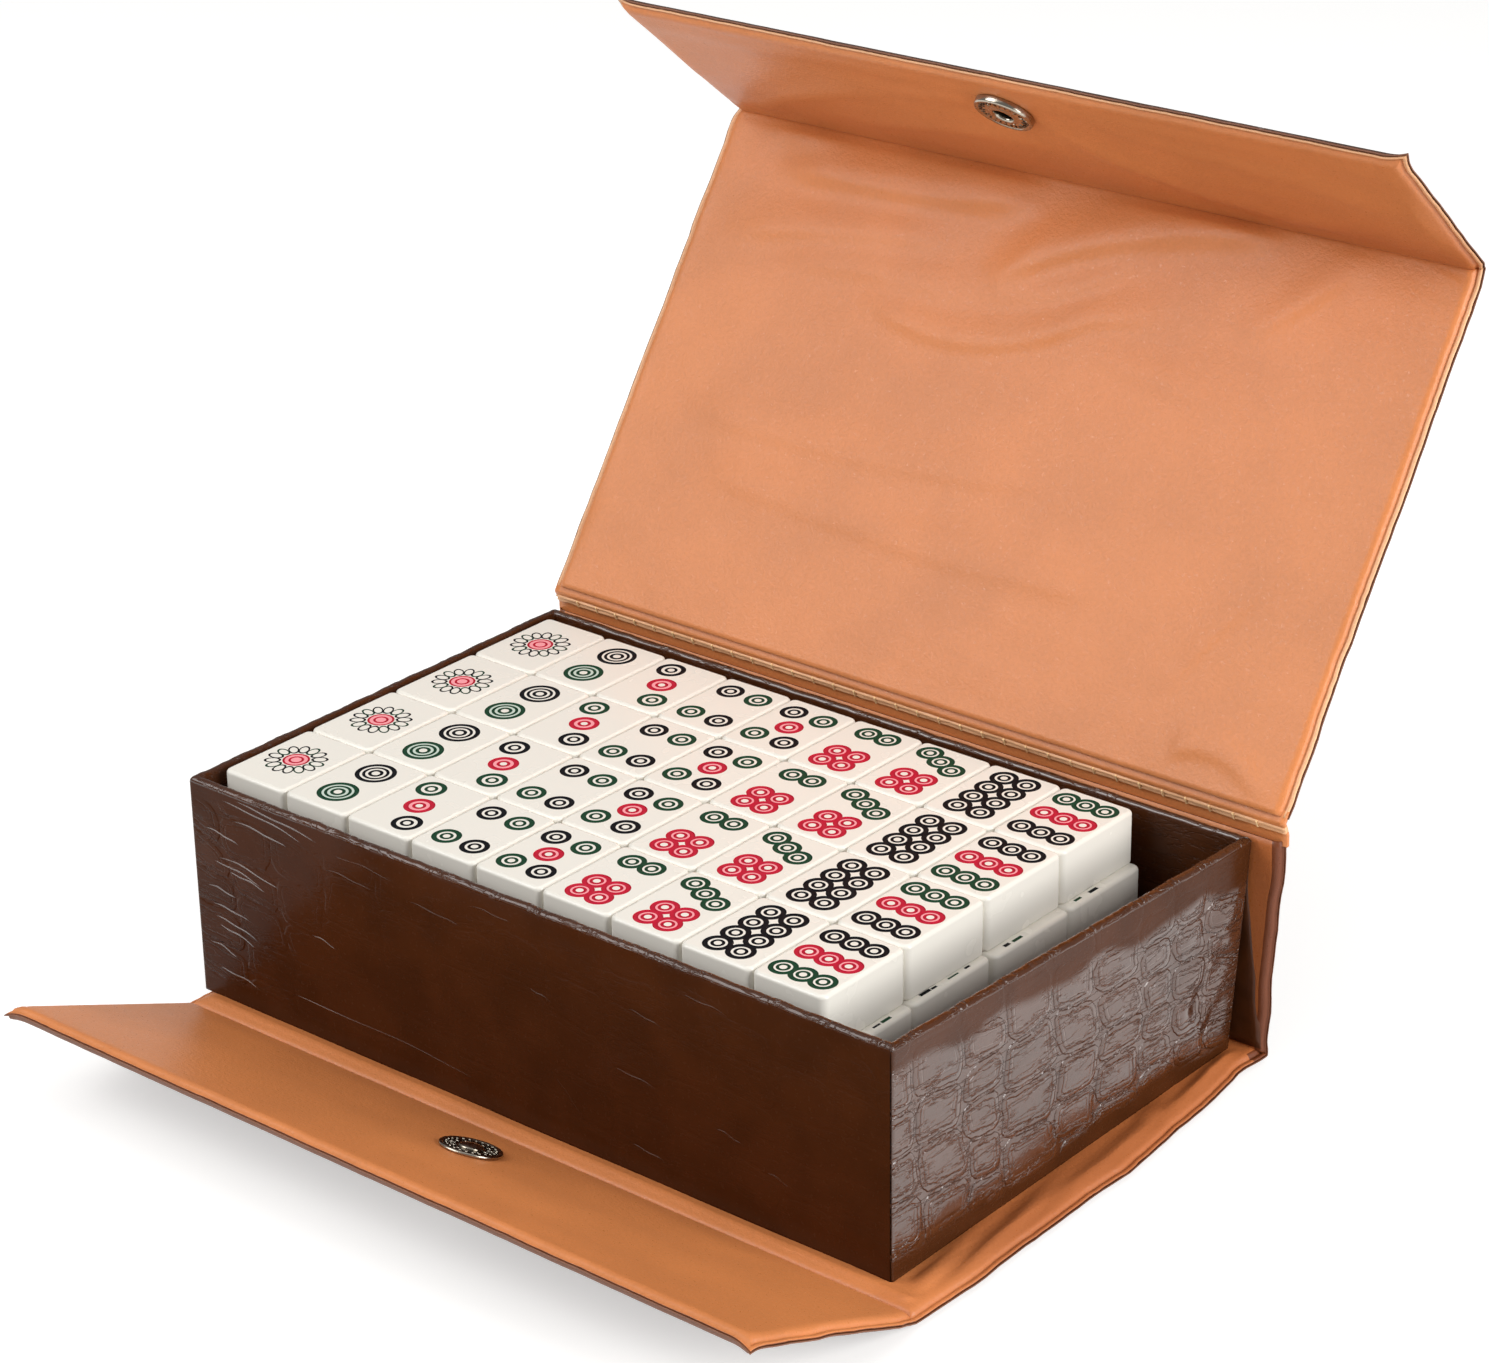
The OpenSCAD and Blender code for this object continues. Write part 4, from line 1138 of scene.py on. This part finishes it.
def tile_top(shapes, edge):
    """Flat top of a tile with its engraving: (points, faces, paints)."""
    depth = mm(settings("tiles").groove)
    verts = [Vector(p) for p in plan(edge)]
    outline = list(range(len(verts)))
    edges = []
    for x, y, a, b, turn, bands in shapes:
        radii = set()
        for outer, inner, _, cut in bands:
            radii |= {outer, inner} | ({outer - WALL, inner + WALL} if cut else set())
        for r in sorted(v for v in radii if v > 0.15):
            n = 36 if a > 3 and r >= 2.5 else 20
            first = len(verts)
            for k in range(n):
                t = 2 * math.pi * k / n
                u, v = r * math.cos(t), r * b / a * math.sin(t)
                verts.append(Vector((x + u * math.cos(turn) - v * math.sin(turn),
                                     y + u * math.sin(turn) + v * math.cos(turn))))
            edges += [(first + k, first + (k + 1) % n) for k in range(n)]
    flat, _, faces, *_ = delaunay_2d_cdt(verts, edges, [outline], 1, 1e-5)
    points = [(v.x, v.y, engraved(v, shapes, depth)[0]) for v in flat]
    middles = [sum((flat[i] for i in f), Vector((0, 0))) / len(f) for f in faces]
    return points, faces, [engraved(middle, shapes, depth)[1] for middle in middles]


def tile_sides(edge, corner_steps=6, arc=4, top=True):
    """Sides and bottom of a tile, from its bottom face to the edge of its top one; top closes it."""
    thick = mm(settings("tiles").thick)
    levels = []
    for k in range(arc + 1):
        a = math.pi / 2 * k / arc
        levels.append((edge * (1 - math.sin(a)), edge * (1 - math.cos(a))))
    levels += [(inset, thick - z) for inset, z in levels[::-1]]
    n = len(plan(0, corner_steps))
    points = []
    for inset, z in levels:
        points += [(x, y, z) for x, y in plan(inset, corner_steps)]
    faces = [list(f) for f in grid_faces(len(levels), n, close_columns=True)]
    faces.append(list(range(n))[::-1])
    if top:
        faces.append([len(points) - n + k for k in range(n)])
    return points, faces


def tile_spot(column, line, layer, shift):
    """Centre of a tile's bottom face in the shared frame, in millimetres."""
    t, box, c = settings("tiles"), settings("tray"), settings("cover")
    left = mm(box.at_x) - mm(box.width) / 2 + mm(box.wall) + mm(t.left)
    front = mm(box.at_y) - mm(box.depth) / 2 + mm(box.wall) + mm(t.front)
    return np.array([left + column * mm(t.pitch_x) + shift + mm(t.width) / 2,
                     front + line * mm(t.pitch_y) + mm(t.length) / 2,
                     mm(c.thick) + mm(box.wall) + layer * mm(t.thick)])


def stagger(line, layer):
    """How far a row of a lower layer stands to the right of the top one, in millimetres."""
    if layer == 2:
        return mm(settings("tiles").shift) + (0.3, -0.4, 0.7, 0.2)[line]
    return 0.8 + 0.6 * ((line + layer) % 2)


# Lower layers: (row, layer, first column, tiles) of each run
LOWER_LAYERS = {
    "bamboo_tiles": [(r, 2, 0, 9) for r in range(4)], "character_tiles": [(r, 1, 0, 9) for r in range(4)],
    "wind_tiles": [(0, 0, 0, 9), (1, 0, 0, 7)], "dragon_tiles": [(1, 0, 7, 2), (2, 0, 0, 9), (3, 0, 0, 1)],
    "flower_tiles": [(3, 0, 1, 8)]}


class MAHJONG_OT_tiles(bpy.types.Operator):
    """Makes the engraved top layer and the plain layers under it"""
    bl_idname = "mahjong.tiles"
    bl_label = "Tiles"

    def execute(self, context):
        t = settings("tiles")
        ivory = melamine()
        paints = [ivory] + [enamel(n, getattr(t, n)) for n in ("black", "green", "red", "pink")]
        paints.append(enamel("pale_green", t.mist))
        for number, node_name in enumerate(["tiles_1_dot"] + [f"tiles_{n}_dots" for n in range(2, 10)], 1):
            self.dots(number, node_name, paints)
        for node_name, runs in LOWER_LAYERS.items():
            made = []
            for line, layer, column, count in runs:
                points, faces = tile_sides(mm(t.edge), 4, 3)
                one = piece(f"{node_name}_{line}", points, faces, [ivory])
                many = repeated(one, Count=count, Step=(t.pitch_x, 0, 0), Material=ivory)
                made.append(put(many, tile_spot(column, line, layer, stagger(line, layer))))
            carry(join(node_name + "_plain", made), "root", "tiles", node_name)
        self.strokes(paints)
        return {"FINISHED"}

    def dots(self, number, node_name, paints):
        """Four tiles of one number, one in each row of the top layer"""
        t = settings("tiles")
        side_points, side_faces = tile_sides(mm(t.edge), top=False)
        points, faces, index, soft = [], [], [], []
        for line in range(4):
            top, top_faces, tones = tile_top(design(number, line % 2 == 0), mm(t.edge))
            at = tile_spot(number - 1, line, 3, 0)
            slope = 0.004 * 0.12 * math.sin(3.1 * line + 1.7 * number)     # tiles never sit quite level
            for part, part_faces, base in ((side_points, side_faces, 0), (top, top_faces, mm(t.thick))):
                start = len(points)
                points += [tuple(at + np.array([x, y, base + z + slope * x])) for x, y, z in part]
                faces += [[v + start for v in f] for f in part_faces]
            index += [IVORY] * len(side_faces) + tones
            soft += [True] * (len(side_faces) - 1) + [False] * (1 + len(top_faces))
        made = piece(node_name + "_engraved", points, faces, paints, index, soft)
        weld(made)
        carry(made, "root", "tiles", node_name)

    def strokes(self, paints):
        """Ends of the second layer's painted strokes, which show where it stands out to the right"""
        t = settings("tiles")
        made = []
        for line in range(4):
            at = tile_spot(8, line, 2, stagger(line, 2)) + np.array([mm(t.width) / 2, 0, mm(t.thick)])
            for k in range(4 if line < 2 else 2):
                y = -11 + 6.4 * k + 1.5 * math.sin(4 * k + line)
                wide, long = 0.9 + 0.3 * math.sin(5 * k + line), 3.4 + 1.2 * math.sin(3 * k + 2 * line)
                paint = paints[BLACK if (k + line) % 3 else GREEN]
                bar = rounded_bar(f"stroke_{line}_{k}", wide, long, 0.12, paint)
                made.append(put(bar, at + np.array([-2.2 + 0.3 * math.sin(7 * k), y, 0.01])))
        carry(join("bamboo_tiles_strokes", made), "root", "tiles")


# ---------- magnetic snap ----------

# Directions of the hinge strip, the lid and the flaps in the shut case
SHUT_STRIP, SHUT_LID, SHUT_FLAPS = (math.radians(a) for a in (161.5, 179, 85.35))


class MAHJONG_OT_snap(bpy.types.Operator):
    """Makes the knurled socket, the beaded cap and the metal of the snap"""
    bl_idname = "mahjong.snap"
    bl_label = "Magnetic snap"

    def execute(self, context):
        c, s = settings("cover"), settings("snap")
        bright, dark = nickel("nickel_plate_bright", 1.15), nickel("nickel_plate_antiqued", 0.16)
        black = nickel("nickel_plate_in_the_socket", 0.03)
        for n in ("lid_snap_rivet", "lower_snap_rivet", "lower_snap_stud"):
            repaint(n, bright)
        repaint("lid_snap_magnet", ferrite())

        # The lid's half stands where it meets the lower flap's half in the shut case
        lines, half = fold_lines(), mm(c.thick) / 2
        shut_fold = lines["strip"] + along(SHUT_STRIP) * mm(c.strip_width)
        shut_crease = shut_fold + along(SHUT_LID) * mm(c.lid_depth)
        stud = lines["low"] + along(SHUT_FLAPS) * mm(s.reach)
        out = along(c.lid_angle + c.flap_turn)
        spot = lines["crease"] + out * float((shut_crease - stud) @ along(SHUT_FLAPS))
        face = along(c.lid_angle + c.flap_turn + math.pi / 2)
        socket = self.socket(bright, dark, black)
        self.fix(socket, "lid_flap", "lid_snap_socket", spot + face * half, 1, out, face)
        cap = self.cap("lid_snap_cap_beaded", bright, dark)
        self.fix(cap, "lid_flap", "lid_snap_cap", spot - face * half, -1, out, -face)
        turn = math.pi - c.lower_flap_rise
        spot, face = lines["low"] + along(turn) * mm(s.reach), along(turn - math.pi / 2)
        cap = self.cap("lower_snap_cap_beaded", bright, dark)
        self.fix(cap, "lower_flap", "lower_snap_cap", spot + face * half, 1, -along(turn), face)
        return {"FINISHED"}

    def fix(self, made, body, node_name, at, across, out, face):
        """Puts one half of the snap on a flap, in place of its CAD node"""
        put(made, (0, *at), (across, 0, 0), (0, *out), (0, *face))
        carry(made, body, "snap_metal", node_name)

    def socket(self, bright, dark, black):
        """Rolled ring with a knurled rim, a black floor and rings of ticks on its face"""
        s = settings("snap")
        r = mm(s.diameter) / 2 + 0.4                       # the rolled rim stands out past the socket's cup
        tall = mm(s.ring_height)
        face_z = tall - 0.3
        profile = [
            (3.2, 0.0), (r - 0.7, 0.0), (r - 0.1, 0.35), (r, 0.8), (r - 0.02, tall - 0.75),
            (r - 0.22, tall - 0.25), (r - 0.6, tall), (r - 1.0, tall - 0.06), (r - 1.25, face_z),
            (r - 1.5, face_z - 0.08),
            (5.2, face_z - 0.08), (4.9, face_z), (4.5, tall - 0.08), (4.0, tall + 0.02), (3.55, tall - 0.1),
            (3.3, tall - 0.5), (3.2, tall - 1.0)]
        ring = lathe("lid_snap_socket_ring", profile, 80, [bright])
        floor_disc = lathe("floor_disc", [(0, 0.3), (3.4, 0.3), (3.4, 0.6), (0, 0.6)], 32, [black])
        knurl = rounded_bar("knurl", 0.62, 0.36, 0.34, bright)
        parts = [ring, ring_of(knurl, 64, r - 0.72, tall - 0.15, bright), floor_disc]
        for count, inset, long, wide, tone in (
                (26, 2.35, 1.2, 0.22, dark), (13, 3.1, 1.0, 0.5, bright), (34, 1.75, 0.5, 0.3, bright)):
            tick = rounded_bar("tick", long, wide, 0.26, tone)
            parts.append(ring_of(tick, count, r - inset, face_z - 0.02, tone))
        return join("lid_snap_socket_ring", parts)

    def cap(self, name, bright, dark):
        """Decorative cap: domed middle, beads and small leaves on a dark ring, bright rim"""
        s = settings("snap")
        r = mm(s.diameter) / 2 + 0.2
        plate = lathe(name, [(0, 0), (r - 0.5, 0), (r - 0.1, 0.25), (r, 0.6), (r - 0.2, 1.0), (r - 0.7, 1.2),
                             (r - 1.2, 1.0), (r - 1.5, 0.7), (4.6, 0.75), (4.2, 0.8), (0, 0.8)], 64, [bright])
        middle = lathe(name + "_dome", [(0, 0.7), (3.5, 0.7), (3.6, 1.0), (3.3, 1.3), (2.4, 1.6), (1.3, 1.82),
                                        (0.6, 1.88), (0, 1.9)], 40, [bright])
        field = lathe(name + "_field", [(4.0, 0.7), (r - 1.4, 0.7), (r - 1.4, 0.82), (4.0, 0.84)], 64, [dark])
        bead = lathe("bead", [(0, -0.2), (0.3, -0.15), (0.42, 0.05), (0.3, 0.3), (0, 0.38)], 8, [bright])
        beads = ring_of(bead, s.beads, r - 2.1, 0.9, bright)
        leaf = lathe("leaf", [(0, -0.2), (0.4, -0.1), (0.5, 0.05), (0.3, 0.22), (0, 0.3)], 8, [bright])
        leaf.data.transform(Matrix.Diagonal((1.9, 0.7, 1, 1)))
        leaves = ring_of(leaf, s.beads // 2, 5.3, 0.9, bright)
        return join(name, [plate, middle, field, beads, leaves])


# ---------- stage ----------

# Lamps: name, side of the square and place, in metres
LAMPS = (("key", 1.2, (-0.9, -1.15, 1.25)), ("top", 3.0, (-0.2, -0.3, 2.4)), ("fill", 1.2, (1.7, 0.2, 0.78)))
# The photograph's camera, fitted to the edges of the tray, the tiles and the panels
CAMERA_RIGHT, CAMERA_DOWN = Vector((0.76957, 0.63839, -0.01453)), Vector((0.25205, -0.32460, -0.91165))
CAMERA_AHEAD, CAMERA_PLACE = Vector((-0.58671, 0.69792, -0.41071)), (0.67096, -0.78726, 0.58091)


class MAHJONG_OT_stage(bpy.types.Operator):
    """Sets the pale floor, the soft lights, the white background and the camera"""
    bl_idname = "mahjong.stage"
    bl_label = "Stage"

    def execute(self, context):
        scene = context.scene
        scene.view_settings.view_transform = "Standard"
        self.floor()
        self.world(scene)
        self.lamps(scene)
        self.camera(scene)
        return {"FINISHED"}

    def floor(self):
        """Matt floor that camera, metal and gloss see paler than the lamps make it"""
        g = settings("stage")
        made = bpy.data.materials.new("matt_paper_floor")
        made.use_nodes = True
        add = partial(node, made.node_tree)
        camera, glossy, clear = (
            add("LightPath", out=n) for n in ("Is Camera Ray", "Is Glossy Ray", "Is Transmission Ray"))
        seen = add("Math", add("Math", camera, glossy, operation="ADD"), clear, operation="ADD")
        glow = add("MapRange", seen, 0, 1, 0.04, g.glow, interpolation_type="SMOOTHSTEP")
        fill(made.node_tree.nodes["Principled BSDF"], {
            "Base Color": (*g.floor, 1), "Roughness": 0.9, "Specular IOR Level": 0.1,
            "Emission Color": (1, 1, 1, 1), "Emission Strength": glow})
        corners = [(x * 6000, y * 6000, -0.05) for x, y in ((-1, -1), (1, -1), (1, 1), (-1, 1))]
        floor = piece("floor", corners, [(0, 1, 2, 3)], [made], smooth=False)
        if floor.data.polygons[0].normal.z < 0:
            floor.data.flip_normals()

    def world(self, scene):
        """Dim white light from all round"""
        world = scene.world or bpy.data.worlds.new("studio")
        scene.world = world
        world.use_nodes = True
        tree = world.node_tree
        tree.nodes.clear()
        node(tree, "OutputWorld", node(tree, "Background", (1, 1, 1, 1), settings("stage").room))

    def lamps(self, scene):
        """Soft square lamps that look at the middle of the part"""
        for name, size, place in LAMPS:
            light = bpy.data.lights.new(name, "AREA")
            light.energy, light.size = getattr(settings("stage"), name), size
            lamp = bpy.data.objects.new(name, light)
            lamp.location = place
            lamp.rotation_euler = (Vector((0, 0, 0.08)) - lamp.location).to_track_quat("-Z", "Y").to_euler()
            scene.collection.objects.link(lamp)

    def camera(self, scene):
        """The photograph's view"""
        lens = bpy.data.cameras.new("photo_view")
        lens.lens, lens.sensor_width, lens.clip_end = 97.39, 36, 50
        camera = bpy.data.objects.new("photo_view", lens)
        camera.matrix_world = Matrix((CAMERA_RIGHT, -CAMERA_DOWN, -CAMERA_AHEAD)).transposed().to_4x4()
        camera.location = CAMERA_PLACE
        scene.collection.objects.link(camera)
        scene.camera = camera


class MAHJONG_PT_panel(bpy.types.Panel):
    """Sizes and colours of the mahjong case"""
    bl_idname = "MAHJONG_PT_panel"
    bl_label = "Mahjong case"
    bl_space_type = "VIEW_3D"
    bl_region_type = "UI"
    bl_category = "Mahjong case"

    def draw(self, context):
        for part, group in PARTS.items():
            box = self.layout.box()
            box.label(text=part.title())
            for name in group.__annotations__:
                box.prop(settings(part), name)
        for op in OPERATORS:
            self.layout.operator(op.bl_idname)


PARTS = {"cover": MahjongCover, "tray": MahjongTray, "tiles": MahjongTiles, "snap": MahjongSnap,
         "stage": MahjongStage}
OPERATORS = (MAHJONG_OT_stage, MAHJONG_OT_cover, MAHJONG_OT_tray, MAHJONG_OT_tiles, MAHJONG_OT_snap)


def register():
    for group in (*PARTS.values(), *OPERATORS, MAHJONG_PT_panel):
        bpy.utils.register_class(group)
    for part, group in PARTS.items():
        setattr(bpy.types.Scene, "mahjong_" + part, PointerProperty(type=group))


def unregister():
    for part in PARTS:
        delattr(bpy.types.Scene, "mahjong_" + part)
    for group in (MAHJONG_PT_panel, *reversed(OPERATORS), *reversed(PARTS.values())):
        bpy.utils.unregister_class(group)


def main():
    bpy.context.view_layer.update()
    register()
    for op in OPERATORS:
        getattr(bpy.ops.mahjong, op.bl_idname.split(".")[1])()


if __name__ == "__main__":
    main()
